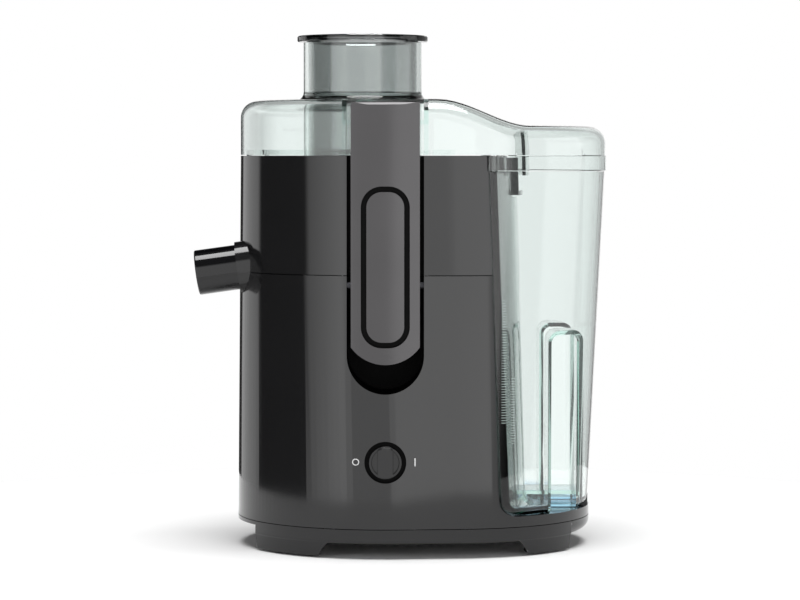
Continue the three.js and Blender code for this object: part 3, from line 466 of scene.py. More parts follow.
class Finish:
    """A material under construction."""

    def __init__(self, name, **constants):
        self.material = bpy.data.materials.new(name)
        self.material.use_nodes = True
        self.tree = self.material.node_tree
        self.shader = self.tree.nodes["Principled BSDF"]
        self.output = self.tree.nodes["Material Output"]
        for socket, value in constants.items():
            self.shader.inputs[socket.replace("_", " ")].default_value = value

    def node(self, kind, settings=None, output=0, **inputs):
        node = self.tree.nodes.new("ShaderNode" + kind)
        for key, value in (settings or {}).items():
            if key == "stops":
                for i, (place, colour) in enumerate(value):
                    element = node.color_ramp.elements[i]
                    element.position = place
                    element.color = colour
            else:
                setattr(node, key, value)
        for key, value in inputs.items():
            by_number = key[0] == "i" and key[1:].isdigit()
            socket = node.inputs[int(key[1:]) if by_number else key.replace("_", " ")]
            if isinstance(value, Flow):
                self.tree.links.new(value.socket, socket)
            else:
                socket.default_value = value
        return Flow(self.tree, node.outputs[output])

    def place(self):
        return self.node("TexCoord", output=3)

    def stretched(self, scale):
        return self.node("Mapping", Vector=self.place(), Scale=scale)

    def noise(self, scale, detail=3.0, vector=None):
        return self.node("TexNoise", Vector=vector or self.place(), Scale=scale, Detail=detail)

    def blend(self, factor, first, second):
        return self.node("Mix", {"data_type": "RGBA"}, output=2, i0=factor, i6=first, i7=second)

    def feed(self, socket, flow):
        self.tree.links.new(flow.socket, self.shader.inputs[socket.replace("_", " ")])

    def bump(self, height, distance, strength=1.0):
        self.feed("Normal", self.node("Bump", Height=height, Distance=distance, Strength=strength))


def tone(colour, factor=1.0):
    return (colour[0] * factor, colour[1] * factor, colour[2] * factor, 1.0)


def moulded(name, colour, rough, grain=0.00001, metal=0.0, spread=0.06, grain_scale=900, shine=0.5):
    """Injection-moulded plastic: slight colour drift, handling smudges and the mould's fine grain."""
    made = Finish(name, Metallic=metal, IOR=1.5, Specular_IOR_Level=shine)
    drift = made.noise(22)
    made.feed("Base Color", made.blend(drift, tone(colour, 1 - spread * 2), tone(colour, 1 + spread * 2)))
    smudge = made.noise(60, 5)
    made.feed("Roughness", smudge * (rough * 0.35) + rough * 0.82)
    made.bump(made.noise(grain_scale, 2), grain)
    return made.material


def brushed(name, colour, rough, lines=(30, 30, 2600), distance=0.000012):
    """Rolled or brushed metal, its fine lines running across the stretched axis."""
    made = Finish(name, Metallic=1.0)
    grain = made.noise(1, 4, made.stretched(lines))
    made.feed("Base Color", made.blend(grain, tone(colour, 0.86), tone(colour, 1.1)))
    made.feed("Roughness", grain * 0.18 + (rough - 0.06))
    made.bump(grain, distance)
    return made.material


FOOT_BLUE = (0.62, 0.83, 1.0, 1)


def see_through(name, colour, rough, depth_colour, density, foot=None):
    """Clear moulded plastic that deepens in colour where it is looked through edge on."""
    made = Finish(name, Transmission_Weight=1.0, IOR=1.49)
    drift = made.noise(9)
    tint = made.blend(drift, tone(colour, 0.985), tone(colour, 1.0))
    if foot:
        low, high = foot
        parts = made.tree.nodes.new("ShaderNodeSeparateXYZ")
        made.tree.links.new(made.place().socket, parts.inputs[0])
        height = Flow(made.tree, parts.outputs[2])
        level = made.node("MapRange", {"clamp": True}, i0=height, i1=low, i2=high, i3=1.0, i4=0.0)
        tint = made.blend(level, tint, FOOT_BLUE)
    made.feed("Base Color", tint)
    smudge = made.noise(45, 4)
    made.feed("Roughness", smudge * rough + rough * 0.3)
    made.bump(made.noise(30, 1), 0.00003, 0.3)
    depth = made.tree.nodes.new("ShaderNodeVolumeAbsorption")
    depth.inputs["Color"].default_value = tone(depth_colour)
    depth.inputs["Density"].default_value = density
    made.tree.links.new(depth.outputs[0], made.output.inputs["Volume"])
    return made.material


def perforated(name, colour, pitch):
    """Strainer steel: rows of fine holes set round the cone."""
    made = Finish(name, Metallic=1.0, Roughness=0.28, Base_Color=tone(colour))
    place = made.place()
    low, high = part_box("strainer")
    centre = made.node("Mapping", Vector=place, Location=(-AXIS.x, -AXIS.y, 0))
    parts = made.tree.nodes.new("ShaderNodeSeparateXYZ")
    made.tree.links.new(centre.socket, parts.inputs[0])
    x, y, z = [Flow(made.tree, parts.outputs[i]) for i in range(3)]
    around = x.math("ARCTAN2", y, x) * ((low.x - high.x) / -2)
    row = z * (1 / pitch)
    across = around * (1 / pitch) + row.math("FLOOR", row) * 0.5
    u = across.math("FRACT", across) - 0.5
    v = row.math("FRACT", row) - 0.5
    radius_squared = 0.075
    hole = (u * u + v * v) < radius_squared
    made.feed("Alpha", 1 - hole)
    return made.material


GLOSS = moulded("gloss_charcoal", (0.0088, 0.0088, 0.0092), 0.085, 0.000004)
BLACK = moulded("gloss_black", (0.0025, 0.0025, 0.003), 0.07, 0.000003)
SATIN = moulded("satin_charcoal", (0.06, 0.058, 0.06), 0.2, 0.000008, metal=0.5)
# Painted shade: rough like the moulding's textured recesses, but near-black and with its reflection turned
# down so that recesses and slots read as shaded.
PAINTED_RECESS_SHADE = moulded("recess_painted_shade", (0.0015, 0.0015, 0.0015), 0.5, 0.00003, shine=0.06)
MATT_BLACK = moulded("black_plastic", (0.012, 0.012, 0.013), 0.45, 0.00003)
CLEAR = see_through("clear_plastic", (0.965, 0.985, 0.978), 0.025, (0.55, 0.86, 0.78), 24)
FOOT_TINT = (SHELF * MM, (SHELF + 7) * MM)
BIN = see_through("clear_container", (0.955, 0.98, 0.972), 0.03, (0.55, 0.86, 0.78), 24, FOOT_TINT)
SMOKE = see_through("smoke_plastic", (0.96, 0.97, 0.97), 0.03, (0.08, 0.1, 0.1), 240)
STEEL = brushed("stainless", (0.62, 0.62, 0.63), 0.26)
PLATED = brushed("plated_steel", (0.42, 0.43, 0.44), 0.4)
COPPER = brushed("copper_wire", (0.6, 0.26, 0.1), 0.35, (700, 700, 40), 0.00004)
RUBBER = moulded("rubber", (0.018, 0.018, 0.018), 0.75, 0.00006, grain_scale=500)
NYLON = moulded("nylon", (0.62, 0.6, 0.53), 0.5, 0.00003)
CARBON = moulded("carbon", (0.03, 0.03, 0.03), 0.6, 0.00005)
MESH = perforated("strainer_steel", (0.6, 0.6, 0.61), 0.0016)
TICK = moulded("tick_pale", (0.3, 0.36, 0.34), 0.4)
PRINT = moulded("printed_mark", (0.62, 0.62, 0.62), 0.5)

SLOT_FINISH = {
    "gloss_charcoal": GLOSS, "gloss_black": BLACK, "satin_charcoal": SATIN, "black_plastic": MATT_BLACK,
    "clear_plastic": CLEAR, "smoke_plastic": SMOKE, "stainless": STEEL, "plated_steel": PLATED,
    "copper_wire": COPPER, "rubber": RUBBER, "nylon": NYLON, "carbon": CARBON,
}
for part in frame["record"]["subparts"]:
    node = frame["nodes"][part["node"]]
    node.data.materials.clear()
    node.data.materials.append(SLOT_FINISH[part["material_slot"]])
frame["nodes"]["strainer"].data.materials[0] = MESH
frame["nodes"]["latch_pin"].data.materials[0] = brushed("blued_steel", (0.05, 0.05, 0.055), 0.4)


# ------------------------------------------------------------------ base
FRONT = -89.0
KNOB_RECESS_R = 12
RECESS_FLOOR = FRONT + 3.7
SHAFT_BORE = 3.2


def base_housing():
    shell = column(0, COVER_SEAM, BOWL_SEAM - 0.5)
    join(shell, body_block(0, COVER_SEAM, SHELF))
    tab = block("tab", 112.8, 127, -12, 12, SHELF - 1, SHELF + 5.2)
    join(shell, keep(tab, body_block(0.5, SHELF - 2, SHELF + 7)))
    room = column(SHELL, COVER_SEAM - 1, DECK - SHELL)
    join(room, body_block(SHELL, COVER_SEAM - 1.5, SHELF - SHELL))
    cut(room, finger_well(SHELL))
    upper = column(SHELL, DECK, BOWL_SEAM + 2)
    cut(upper, finger_well(SHELL), slot(SHELL, BASE_SLOT_BACK, PIVOT_Z - 20, BOWL_SEAM + 3))
    cut(shell, room, upper)
    boss = bar("boss", (0, FRONT + 2, KNOB_Z), (0, FRONT + 6.5, KNOB_Z), KNOB_RECESS_R + 2.4)
    join(shell, boss)
    cut(shell, finger_well(0), slot(0, BASE_SLOT_BACK, PIVOT_Z - 20, BOWL_SEAM + 4))
    cut(shell, bar("recess", (0, FRONT - 8, KNOB_Z), (0, RECESS_FLOOR, KNOB_Z), KNOB_RECESS_R, 96))
    cut(shell, bar("shaft_hole", (0, FRONT - 8, KNOB_Z), (0, FRONT + 20, KNOB_Z), SHAFT_BORE))
    cut(shell, upright("seal_hole", 12, DECK - 6, DECK + 3))
    cut(shell, spout_bar(SPOUT_SOCKET + GAP, -110, -62))
    gland_z = COVER_SEAM + 16
    cut(shell, bar("gland_hole", (18, 60, gland_z), (18, 120, gland_z), 7))
    return soften(shell, 0.55)


base_shell = show(base_housing(), "base", "gloss_charcoal", GLOSS, "base_housing")
base_shell.name = "base_shell"


# Faces given painted shade: the finger well below the latch and the ring round the knob's recess.
def in_base_painted_shade(point, normal):
    in_well = abs(point.x) < SLOT_HALF + 0.1 and point.z > WELL_BOTTOM - 0.1 and point.y < WELL_BACK + 1
    outside = normal.y < -0.95 and point.y < -80
    off_knob = math.hypot(point.x, point.z - KNOB_Z)
    in_knob_ring = off_knob < KNOB_RECESS_R + 0.1 and FRONT + 0.7 < point.y < -80
    on_skin = normal.y < -0.7 and point.y < RECESS_FLOOR - 0.3
    return (in_well and not outside) or (in_knob_ring and not on_skin)


# Painted shade in the finger well and round the knob.
paint_recess_shade(base_shell, PAINTED_RECESS_SHADE, in_base_painted_shade)


END_CUT_HALF = 45.0
END_CUT_ROUND = 6.2


def bottom_cover():
    """The cover under the body, with four feet flush with its sides and its ends rounded off between them."""
    edge = 1.6
    top = COVER_SEAM - 0.4
    steps = [math.pi / 2 * i / 6 for i in range(7)]
    rings = [body_ring(edge * (1 - math.sin(a)), SKIRT + edge * (1 - math.cos(a))) for a in steps]
    cover = stacked("cover", rings + [body_ring(0, top)])
    cut(cover, body_block(END_CUT_ROUND + SHELL, SKIRT + SHELL, COVER_SEAM + 1))
    for low_x, high_x, outer in ((-38.5, -33, -200), (82.5, 77, 200)):
        foot = stacked("foot", [body_ring(1.2, 1.2), body_ring(0.4, SKIRT), body_ring(0.4, SKIRT + 3)])
        cut(foot, body_block(28, 0, SKIRT + 2))
        middle = (low_x + high_x) / 2
        outline = [(outer, -1), (low_x, -1), (low_x, 1.2), (middle + (low_x - middle) * 0.6, 4)]
        outline += [(middle, 6.6), (middle + (high_x - middle) * 0.6, 8.2)]
        outline += [(high_x, SKIRT + 0.6), (outer, SKIRT + 0.6)]
        join(cover, keep(foot, front_plate("foot_side", outline, -150, 150)))
    steps = [math.pi / 2 * i / 10 for i in range(11)]
    rounded = [
        body_ring(END_CUT_ROUND * (1 - math.sin(a)), SKIRT + END_CUT_ROUND * (1 - math.cos(a))) for a in steps
    ]
    between = block("between", -200, 200, -END_CUT_HALF, END_CUT_HALF, 0, SKIRT + END_CUT_ROUND)
    cut(cover, cut(between, stacked("rounded", rounded)))
    for pad in ("foot_front_left", "foot_front_right", "foot_rear_left", "foot_rear_right"):
        low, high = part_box(pad)
        x, y = ((low + high).x / 2 - AXIS.x) / MM, ((low + high).y / 2 - AXIS.y) / MM
        cut(cover, upright("pad_seat", 7.3, -1, 2.8, x, y))
    return soften(cover, 0.6)


show(bottom_cover(), "base", "gloss_black", BLACK, "bottom_cover").name = "cover_shell"


# ------------------------------------------------------------------ bowl and spout
def juice_bowl():
    top = LID_SEAM - 0.5
    shell = column(0, BOWL_SEAM, top)
    join(shell, spout_bar(SPOUT_SOCKET, -87.7, -50))
    low_room = column(SHELL, BOWL_SEAM - 2, PULP_DECK - CHANNEL_WALL)
    cut(low_room, upright("well", JUICE_R + CHANNEL_WALL, BOWL_FLOOR - 2.5, LID_SEAM))
    cut(low_room, slot(SHELL, SLOT_BACK, BOWL_SEAM - 4, LID_SEAM + 4), spout_bar(SPOUT_SOCKET, -100, -50))
    cut(shell, low_room, upright("juice_well", JUICE_R, BOWL_FLOOR, LID_SEAM + 3, sides=128))
    pulp_way = column(SHELL, PULP_DECK, LID_SEAM + 2)
    wall = upright("wall", JUICE_R + CHANNEL_WALL, PULP_DECK - 1, PULP_DECK + 6, sides=128)
    cut(pulp_way, wall, slot(SHELL, SLOT_BACK, BOWL_SEAM, LID_SEAM + 6))
    cut(shell, pulp_way, slot(0, SLOT_BACK, BOWL_SEAM - 3, LID_SEAM + 5))
    lip_half = GATE_HALF + CHANNEL_WALL
    lip = block("lip", 73.5, 100, -lip_half, lip_half, PULP_DECK - CHANNEL_WALL, top - 1)
    join(shell, keep(lip, bowed(LIP_REACH, 160, 260)))
    gate = block("gate", 62, 110, -GATE_HALF, GATE_HALF, PULP_DECK, LID_SEAM + 7)
    keep_wall = upright("keep_wall", JUICE_R + CHANNEL_WALL, PULP_DECK - 1, PULP_DECK + 6, sides=128)
    cut(gate, keep_wall)
    cut(shell, gate)
    join(shell, upright("hub_tube", 17, BOWL_FLOOR - 2.5, BOWL_FLOOR + 10))
    cut(shell, upright("hub_bore", 14.5, BOWL_SEAM - 3, BOWL_FLOOR + 12))
    cut(shell, spout_bar(SPOUT_R + GAP, -100, SPOUT_SEAT + GAP), spout_bar(SPOUT_BORE, -101, -53.7))
    return soften(shell, 0.5)


bowl_shell = show(juice_bowl(), "base", "gloss_charcoal", GLOSS, "juice_bowl")
bowl_shell.name = "bowl_shell"


# Faces given painted shade: the walls and back of the latch's slot in the bowl.
def in_bowl_slot_painted_shade(point, normal):
    inside = abs(point.x) < SLOT_HALF + 0.2 and AHEAD < point.y < SLOT_BACK + 0.2
    return inside and (point.y > -80 or abs(normal.x) > 0.9)


# Painted shade in the latch's slot.
paint_recess_shade(bowl_shell, PAINTED_RECESS_SHADE, in_bowl_slot_painted_shade)


def juice_spout():
    tube = spout_bar(SPOUT_R, SPOUT_END, SPOUT_SEAT)
    cut(tube, spout_bar(SPOUT_BORE, SPOUT_END - 4, -70))
    return soften(tube, 0.9, 4)


show(juice_spout(), "base", "gloss_black", BLACK, "juice_spout").name = "spout_tube"


# ------------------------------------------------------------------ lid and pusher
LID_ROUND = 10.0
SLOPE_START = 30
SLOPE_RUN = 54
SLOPE_DROP = 15.2
FLARE = 5.6
HOOK_DROP = 7.7


def lid_top(x):
    """The lid's height at x, easing down from the chute's side to the container's side."""
    share = min(max((x - SLOPE_START) / SLOPE_RUN, 0), 1)
    return LID_TOP - SLOPE_DROP * share * share * (3 - 2 * share)


def lid_block(inset, bottom):
    def outline(more):
        return round_ends(BODY_R - more, LID_END_R - more, END_X + LID_SHIFT)

    steps = 10
    radius = LID_ROUND - inset
    rings = [(outline(inset), bottom)]
    for i in range(steps + 1):
        angle = math.pi / 2 * i / steps
        more = inset + radius * (1 - math.cos(angle))
        drop = inset + radius * (1 - math.sin(angle))
        rings.append((outline(more), lambda x, drop=drop: lid_top(x) - drop))
    return stacked("lid_block", rings)


def latch_pocket(grow):
    ledge = LATCH_TOP - HOOK_DROP - 3.2
    half = SLOT_HALF + grow
    upper = block("pocket", -half, half, AHEAD, SLOT_BACK + 12.6 + grow, ledge - grow, LID_TOP + 20)
    return join(upper, block("pocket_low", -half, half, -120.5, SLOT_BACK + grow, HOOD - 5, ledge + 1))


def lid_skirt():
    """The ring that drops inside the bowl's wall, open at the gate and round the latch's slot."""
    def ring(inset, z):
        return round_ends(BODY_R - inset, END_R - inset, END_X), z

    skirt = stacked("skirt", [ring(SHELL + 0.6, LID_SEAM - 4), ring(SHELL + 0.6, LID_SEAM + 3)])
    cut(skirt, stacked("inside", [ring(SHELL + 2.1, LID_SEAM - 5), ring(SHELL + 2.1, LID_SEAM + 4)]))
    gate_side = block("gate_side", 40, 150, -150, 150, 200, 260)
    return cut(skirt, gate_side, block("slot_side", -27, 27, -120, -60, 200, 260))


def hood_bead():
    """The thicker rim round the hood's mouth."""
    def ring(inset, z):
        return round_ends(BODY_R - inset, LID_END_R - inset, END_X + LID_SHIFT), z

    rings = [ring(-0.1, HOOD - 0.4), ring(-0.5, HOOD), ring(-0.5, LID_SEAM - 0.6), ring(-0.1, LID_SEAM - 0.2)]
    bead = stacked("bead", rings)
    cut(bead, lid_block(1.2, HOOD - 3))
    return cut(bead, bowed(0.8, HOOD - 10, LID_SEAM + 5))


def lid():
    shell = join(lid_block(0, HOOD - 0.4), hood_bead())
    hollow = join(lid_block(CLEAR_WALL, HOOD - 2), block("mouth", 60, 61, -1, 1, HOOD - 2, HOOD))
    cut(hollow, latch_pocket(CLEAR_WALL))
    cut(shell, hollow, latch_pocket(0), bowed(0.8, HOOD - 20, LID_SEAM))
    baffle = keep(block("baffle", 70, 100, -44, 44, HOOD - 3, LID_TOP), lid_block(1.2, HOOD - 4))
    keep(baffle, bowed(11, HOOD - 6, LID_TOP + 5))
    cut(baffle, bowed(9, HOOD - 7, LID_TOP + 6))
    join(shell, baffle, lid_skirt())
    flare = [(CHUTE_R - 1, LID_TOP - 1), (CHUTE_R + FLARE, LID_TOP - 1)]
    for i in range(9):
        angle = math.pi / 2 * i / 8
        flare.append((CHUTE_R + FLARE - FLARE * math.sin(angle), LID_TOP + FLARE - FLARE * math.cos(angle)))
    flare += [(CHUTE_R - 1, LID_TOP + FLARE), (CHUTE_R - 1, LID_TOP - 1)]
    join(shell, turned("flare", flare, CHUTE_X))
    join(shell, upright("chute", CHUTE_R, CHUTE_BOTTOM, CHUTE_TOP, CHUTE_X, sides=128))
    cut(shell, upright("chute_bore", CHUTE_BORE, CHUTE_BOTTOM - 5, CHUTE_TOP + 5, CHUTE_X, sides=128))
    return soften(shell, 0.6, 2)


show(lid(), "lid", "clear_plastic", CLEAR, "lid").name = "lid_shell"


FLANGE_R = 39
FLANGE_THICK = 3.5


def pusher():
    outer = CHUTE_BORE - 0.5
    inner = outer - 2.2
    low = CHUTE_BOTTOM + 2
    flange = CHUTE_TOP + 0.4
    profile = [(0, low), (outer - 3, low)]
    for i in range(1, 7):
        angle = math.pi / 2 * i / 6
        profile.append((outer - 3 + 3 * math.sin(angle), low + 3 - 3 * math.cos(angle)))
    profile += [(outer, flange - 1), (outer + 1, flange), (FLANGE_R - 0.6, flange), (FLANGE_R, flange + 0.6)]
    profile += [(FLANGE_R, flange + 2.9), (FLANGE_R - 0.6, flange + FLANGE_THICK)]
    profile += [(inner + 1.4, flange + FLANGE_THICK), (inner, flange + 2.1), (inner, low + 5)]
    profile += [(inner - 1, low + 3), (inner - 3, low + 2.2), (0, low + 2.2)]
    return smooth(turned("pusher", profile, CHUTE_X, steps=128), 40)


show(pusher(), "pusher", "smoke_plastic", SMOKE, "pusher").name = "pusher_cup"


# ------------------------------------------------------------------ pulp container
def container_block(inset, rounding, z0, z1):
    def ring(more, z):
        share = (z - SHELF) / (HOOD - SHELF)
        return round_ends(BODY_R - more, LID_END_R - more, END_X + LID_SHIFT * share), z

    steps = 6
    rings = []
    for i in range(steps + 1):
        angle = math.pi / 2 * i / steps
        rings.append(ring(inset + rounding * (1 - math.sin(angle)), z0 + rounding * (1 - math.cos(angle))))
    rings.append(ring(inset, z1))
    return stacked("container_block", rings)


GRIP_X = 104.2
GRIP_HALF = 8
GRIP_CORNER = 4.5
GRIP_HEIGHT = 104
GRIP_BACK = 28


def grip_pocket(grow, side):
    half = GRIP_HALF + grow
    corner = GRIP_CORNER + grow
    arch = SHELF + GRIP_HEIGHT + grow - corner
    outline = [(GRIP_X - half, SHELF - 5), (GRIP_X + half, SHELF - 5)]
    outline += arc(GRIP_X + half - corner, arch, corner, 0, 90, 10)
    outline += arc(GRIP_X - half + corner, arch, corner, 90, 180, 10)
    near, far = GRIP_BACK - grow, 120
    return front_plate("grip", outline, *((-far, -near) if side < 0 else (near, far)))


def tunnel(grow):
    return block("tunnel", 20, 220, -13 - grow, 13 + grow, 0, SHELF + 6.2 + grow)


def pulp_container():
    low, top = SHELF + 0.4, HOOD - 0.8
    outside = container_block(0.4, 4, low, top)
    cut(outside, bowed(0.8, SHELF - 5, LID_SEAM + 5), grip_pocket(0, -1), grip_pocket(0, 1), tunnel(0))
    soften(outside, 0.9, 3, 40)
    hollow = container_block(0.4 + CLEAR_WALL, 3, low + CLEAR_WALL, top + 2)
    cut(hollow, bowed(0.8 + CLEAR_WALL, SHELF - 6, LID_SEAM + 6))
    cut(hollow, grip_pocket(CLEAR_WALL, -1), grip_pocket(CLEAR_WALL, 1), tunnel(CLEAR_WALL))
    soften(hollow, 1.2, 3, 40)
    cut(outside, hollow)
    gate_half = GATE_HALF + CHANNEL_WALL + 4
    cut(outside, block("gate", 60, 89, -gate_half, gate_half, PULP_DECK - 3.5, LID_SEAM + 8))
    return smooth(outside)


show(pulp_container(), "container", "clear_plastic", BIN, "pulp_container").name = "container_shell"


# Each ladder's place to the right of the axis, its lowest and highest tick, and the ticks' width.
TICK_LADDERS = ((68, 78, 150, 2.8), (73.5, 66, 106, 2.4))
TICK_PITCH = 1.5
TICK_THICK = 0.4


def measuring_ticks():
    """Two ladders of fine raised ticks on the container's front wall, close to the column."""
    ticks = []
    radius = LID_END_R + (BODY_R - LID_END_R) * 0.3
    for x, low, high, width in TICK_LADDERS:
        for i in range(int((high - low) / TICK_PITCH)):
            z = low + TICK_PITCH * i
            share = (z - SHELF) / (HOOD - SHELF)
            centre = END_X + LID_SHIFT * share
            angle = math.asin((x - centre) / radius)
            bpy.ops.object.select_all(action="DESELECT")
            bpy.ops.mesh.primitive_cube_add(
                size=1,
                scale=(width * MM, TICK_THICK * MM, TICK_THICK * MM),
                rotation=(0, 0, angle),
                location=at(x, -radius * math.cos(angle) + 0.45, z),
            )
            ticks.append(settled("tick"))
    only(*ticks)
    bpy.ops.object.join()
    return bpy.context.object


ticks = show(measuring_ticks(), "container", "clear_plastic", TICK)
ticks.name = "container_ticks"


# ------------------------------------------------------------------ latch
def latch_face(inset):
    return upright("latch_face", -LATCH_FRONT - inset, LATCH_TAIL - 20, LID_TOP + 20, sides=360)


PAD_HALF = 14
PAD_CORNER = 12
PAD_BELOW = 41.6
PAD_ABOVE = 50.8
PAD_GROOVE = 3.2


def pad_outline(inset):
    half, corner = PAD_HALF - inset, PAD_CORNER - inset
    low, high = BOWL_SEAM - PAD_BELOW + inset, BOWL_SEAM + PAD_ABOVE - inset
    bottom = arc(half - corner, low + corner, corner, 0, -90, 12)[::-1]
    left = [(-x, z) for x, z in bottom[::-1]]
    top = [(x, low + high - z) for x, z in bottom[::-1]]
    return left + bottom + top + [(-x, z) for x, z in top[::-1]]


def latch_arm():
    back = LATCH_FRONT + 8
    hook_back = SLOT_BACK + 3
    hook_under = LATCH_TOP - HOOK_DROP
    outline = [
        (LATCH_FRONT - 2, LATCH_TAIL - 1), (back, LATCH_TAIL - 1), (back, hook_under),
        (hook_back, hook_under), (hook_back, LATCH_TOP + 2), (LATCH_FRONT + 4.5, LATCH_TOP + 2),
    ] + arc(LATCH_FRONT + 4.5, LATCH_TOP - 4.5, 4.5, 90, 180, 12)[1:] + [(LATCH_FRONT - 2, LATCH_TOP - 12)]
    arm = side_plate("arm", outline, -LATCH_HALF, LATCH_HALF)
    join(arm, bar("boss", (-LATCH_HALF, PIVOT_Y, PIVOT_Z), (LATCH_HALF, PIVOT_Y, PIVOT_Z), 4.8))
    tail = arched(LATCH_HALF, LATCH_TAIL, LATCH_TOP + 30, 24.5)
    keep(arm, front_plate("tail_shape", tail, LATCH_FRONT - 5, hook_back + 5))
    crown = arched(LATCH_HALF, LATCH_TAIL - 60, LATCH_TOP, LATCH_HALF * LATCH_HALF / 2)
    keep(arm, front_plate("crown_shape", crown, LATCH_FRONT - 6, hook_back + 6))
    keep(arm, latch_face(0))
    cut(arm, front_plate("pad_recess", pad_outline(0), LATCH_FRONT - 5, LATCH_FRONT + 3))
    cut(arm, bar("pin_hole", (-30, PIVOT_Y, PIVOT_Z), (30, PIVOT_Y, PIVOT_Z), 2.4))
    return soften(arm, 0.9, 4)


latch_body = show(latch_arm(), "latch", "satin_charcoal", SATIN, "latch_arm")
latch_body.name = "latch_body"


# Faces given painted shade: the floor of the groove round the latch's pad.
def in_pad_groove_painted_shade(point, normal):
    in_outline = abs(point.x) < 14.05 and BOWL_SEAM - 42 < point.z < BOWL_SEAM + 51
    return in_outline and LATCH_FRONT + 1.3 < point.y < LATCH_FRONT + 3.2


# Painted shade in the pad's groove.
paint_recess_shade(latch_body, PAINTED_RECESS_SHADE, in_pad_groove_painted_shade)


def latch_pad():
    pad = front_plate("pad", pad_outline(PAD_GROOVE), LATCH_FRONT - 5, LATCH_FRONT + 2.6)
    return soften(keep(pad, latch_face(0.3)), 0.7, 4)


latch_grip = show(latch_pad(), "latch", "satin_charcoal", SATIN, "latch_pad")
latch_grip.name = "latch_grip"
# Painted shade on the pad's sides inside the groove and on its back.
paint_recess_shade(latch_grip, PAINTED_RECESS_SHADE, lambda point, normal: normal.y > -0.25)


# ------------------------------------------------------------------ knob and its marks
KNOB_R = 9.35
KNOB_BAR_HALF = 4.4


def knob():
    """A round knob, its rim rounded over and a hollow each side of the grip bar."""
    face = FRONT - 0.6
    disc = bar("disc", (0, face, KNOB_Z), (0, -85.9, KNOB_Z), KNOB_R, 128)
    hollow = bar("hollow", (0, face - 1, KNOB_Z), (0, face + 1.5, KNOB_Z), 7.9, 128)
    cut(disc, hollow)
    grip = keep(block("grip", -KNOB_BAR_HALF, KNOB_BAR_HALF, face - 4.6, -87, KNOB_Z - 12, KNOB_Z + 12),
                bar("round", (0, face - 9, KNOB_Z), (0, -85, KNOB_Z), 8.6, 128))
    join(disc, grip)
    cut(disc, bar("shaft_bore", (0, -84, KNOB_Z), (0, face + 2.6, KNOB_Z), SHAFT_BORE))
    return soften(disc, 0.5, 4)


show(knob(), "knob", "gloss_black", BLACK, "knob").name = "knob_grip"


def printed_mark(name, text, x, size):
    bpy.ops.object.select_all(action="DESELECT")
    bpy.ops.object.text_add(rotation=(math.pi / 2, 0, 0))
    mark = bpy.context.object
    mark.data.body = text
    mark.data.size = size
    mark.data.align_x = "CENTER"
    mark.data.align_y = "CENTER"
    mark.data.extrude = 0.0001
    bpy.ops.object.convert(target="MESH")
    radius = BODY_R + DRAFT * (LID_SEAM - KNOB_Z) / (LID_SEAM - COVER_SEAM)
    mark.location = at(x, -math.sqrt(radius * radius - min(x, 0) ** 2), KNOB_Z)
    mark.rotation_euler = (math.pi / 2, 0, math.asin(min(x, 0) / radius))
    piece = settled(name)
    show(piece, "base", "gloss_charcoal", PRINT)


printed_mark("mark_off", "O", -17, 0.0056)
printed_mark("mark_on", "1", 17, 0.0068)


# ------------------------------------------------------------------ floor, world and lights
FLOOR_RADIUS = 0.42


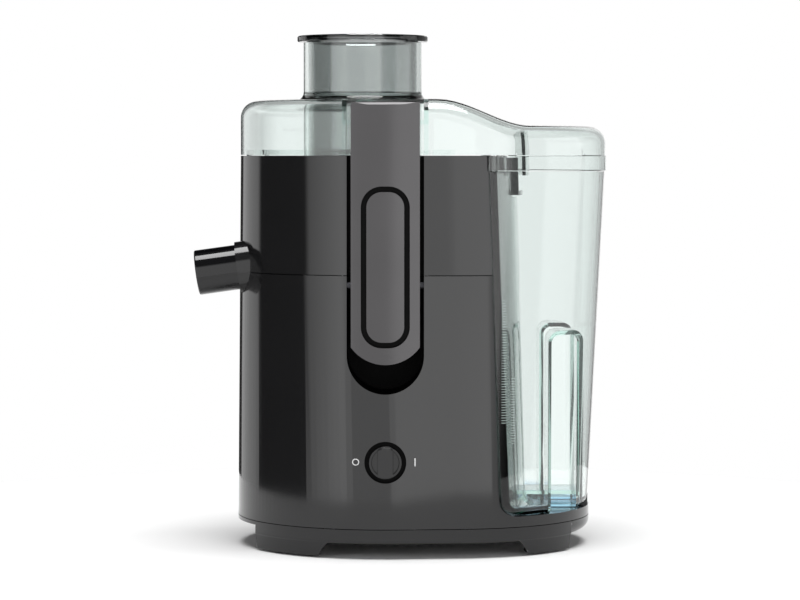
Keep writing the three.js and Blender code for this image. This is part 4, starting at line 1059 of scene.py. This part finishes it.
def studio():
    """A pale disc to stand on, and a room of soft panels seen in reflections and through the clear parts."""
    bpy.ops.object.select_all(action="DESELECT")
    bpy.ops.mesh.primitive_circle_add(vertices=160, radius=FLOOR_RADIUS, fill_type="NGON", location=(0, 0, 0))
    floor = settled("floor")
    finish = Finish("floor_paper", Roughness=0.9)
    finish.feed("Base Color", finish.blend(finish.noise(3), (0.84, 0.84, 0.84, 1), (0.87, 0.87, 0.87, 1)))
    floor.data.materials.append(finish.material)
    world = bpy.data.worlds.new("studio")
    world.use_nodes = True
    tree = world.node_tree
    direction = tree.nodes.new("ShaderNodeTexCoord")
    parts = tree.nodes.new("ShaderNodeSeparateXYZ")
    tree.links.new(direction.outputs["Generated"], parts.inputs[0])
    x, y, z = [Flow(tree, parts.outputs[i]) for i in range(3)]
    turn = x.math("ARCTAN2", x, y * -1) * (1 / math.tau) + 0.5
    around = ramp(tree, turn, [((azimuth + 180) / 360, level) for azimuth, level in PANELS])
    upward = ramp(tree, z * 0.5 + 0.5, [((math.sin(math.radians(e)) + 1) / 2, level) for e, level in BANDS])
    panels = Flow(tree, around) * Flow(tree, upward) * PANEL_PEAK
    seen = tree.nodes.new("ShaderNodeLightPath")
    light = Flow(tree, seen.outputs["Is Camera Ray"])
    through = Flow(tree, seen.outputs["Is Transmission Ray"])
    filled = panels.math("MINIMUM", panels, 1.0) * 0.5 + 0.5
    strength = light + (1 - light) * (through * filled + (1 - through) * panels)
    background = tree.nodes["Background"]
    background.inputs["Color"].default_value = (1, 1, 1, 1)
    tree.links.new(strength.socket, background.inputs["Strength"])
    bpy.context.scene.world = world
    bpy.context.scene.view_settings.view_transform = "Standard"


def ramp(tree, flow, stops):
    node = tree.nodes.new("ShaderNodeValToRGB")
    while len(node.color_ramp.elements) < len(stops):
        node.color_ramp.elements.new(0.5)
    for element, (place, level) in zip(node.color_ramp.elements, stops):
        element.position = place
        element.color = (level, level, level, 1)
    tree.links.new(flow.socket, node.inputs[0])
    return node.outputs[0]


# Brightness of the room round the juicer, as a share of the brightest panel, by the angle from the front
# (negative to the left), and its share by the angle above the worktop.
PANEL_PEAK = 2.5
PANELS = [
    (-180, 0.4), (-175, 0.4), (-173, 0.015), (-156, 0.015), (-154, 0.34), (-120, 0.42), (-116, 0.012),
    (-66, 0.012), (-62, 0.5), (-34, 0.96), (-24, 0.56), (3, 0.56), (7, 0.9), (34, 0.96), (40, 0.15),
    (46, 0.02), (68, 0.04), (72, 0.5), (108, 0.5), (112, 0.14), (160, 0.16), (166, 0.4), (180, 0.4),
]
BANDS = [(-90, 0.1), (-50, 0.3), (-42, 1), (16, 1), (24, 1), (32, 0.08), (90, 0.08)]


def sun(name, elevation, azimuth, size, power):
    """A soft far lamp, its azimuth measured from the front, positive to the right."""
    data = bpy.data.lights.new(name, "SUN")
    data.energy = power
    data.angle = math.radians(size)
    lamp = bpy.data.objects.new(name, data)
    a, e = math.radians(azimuth), math.radians(elevation)
    source = Vector((math.sin(a) * math.cos(e), -math.cos(a) * math.cos(e), math.sin(e)))
    lamp.rotation_euler = source.to_track_quat("Z", "Y").to_euler()
    bpy.context.scene.collection.objects.link(lamp)


studio()
sun("overhead", 82, 20, 40, 3.5)
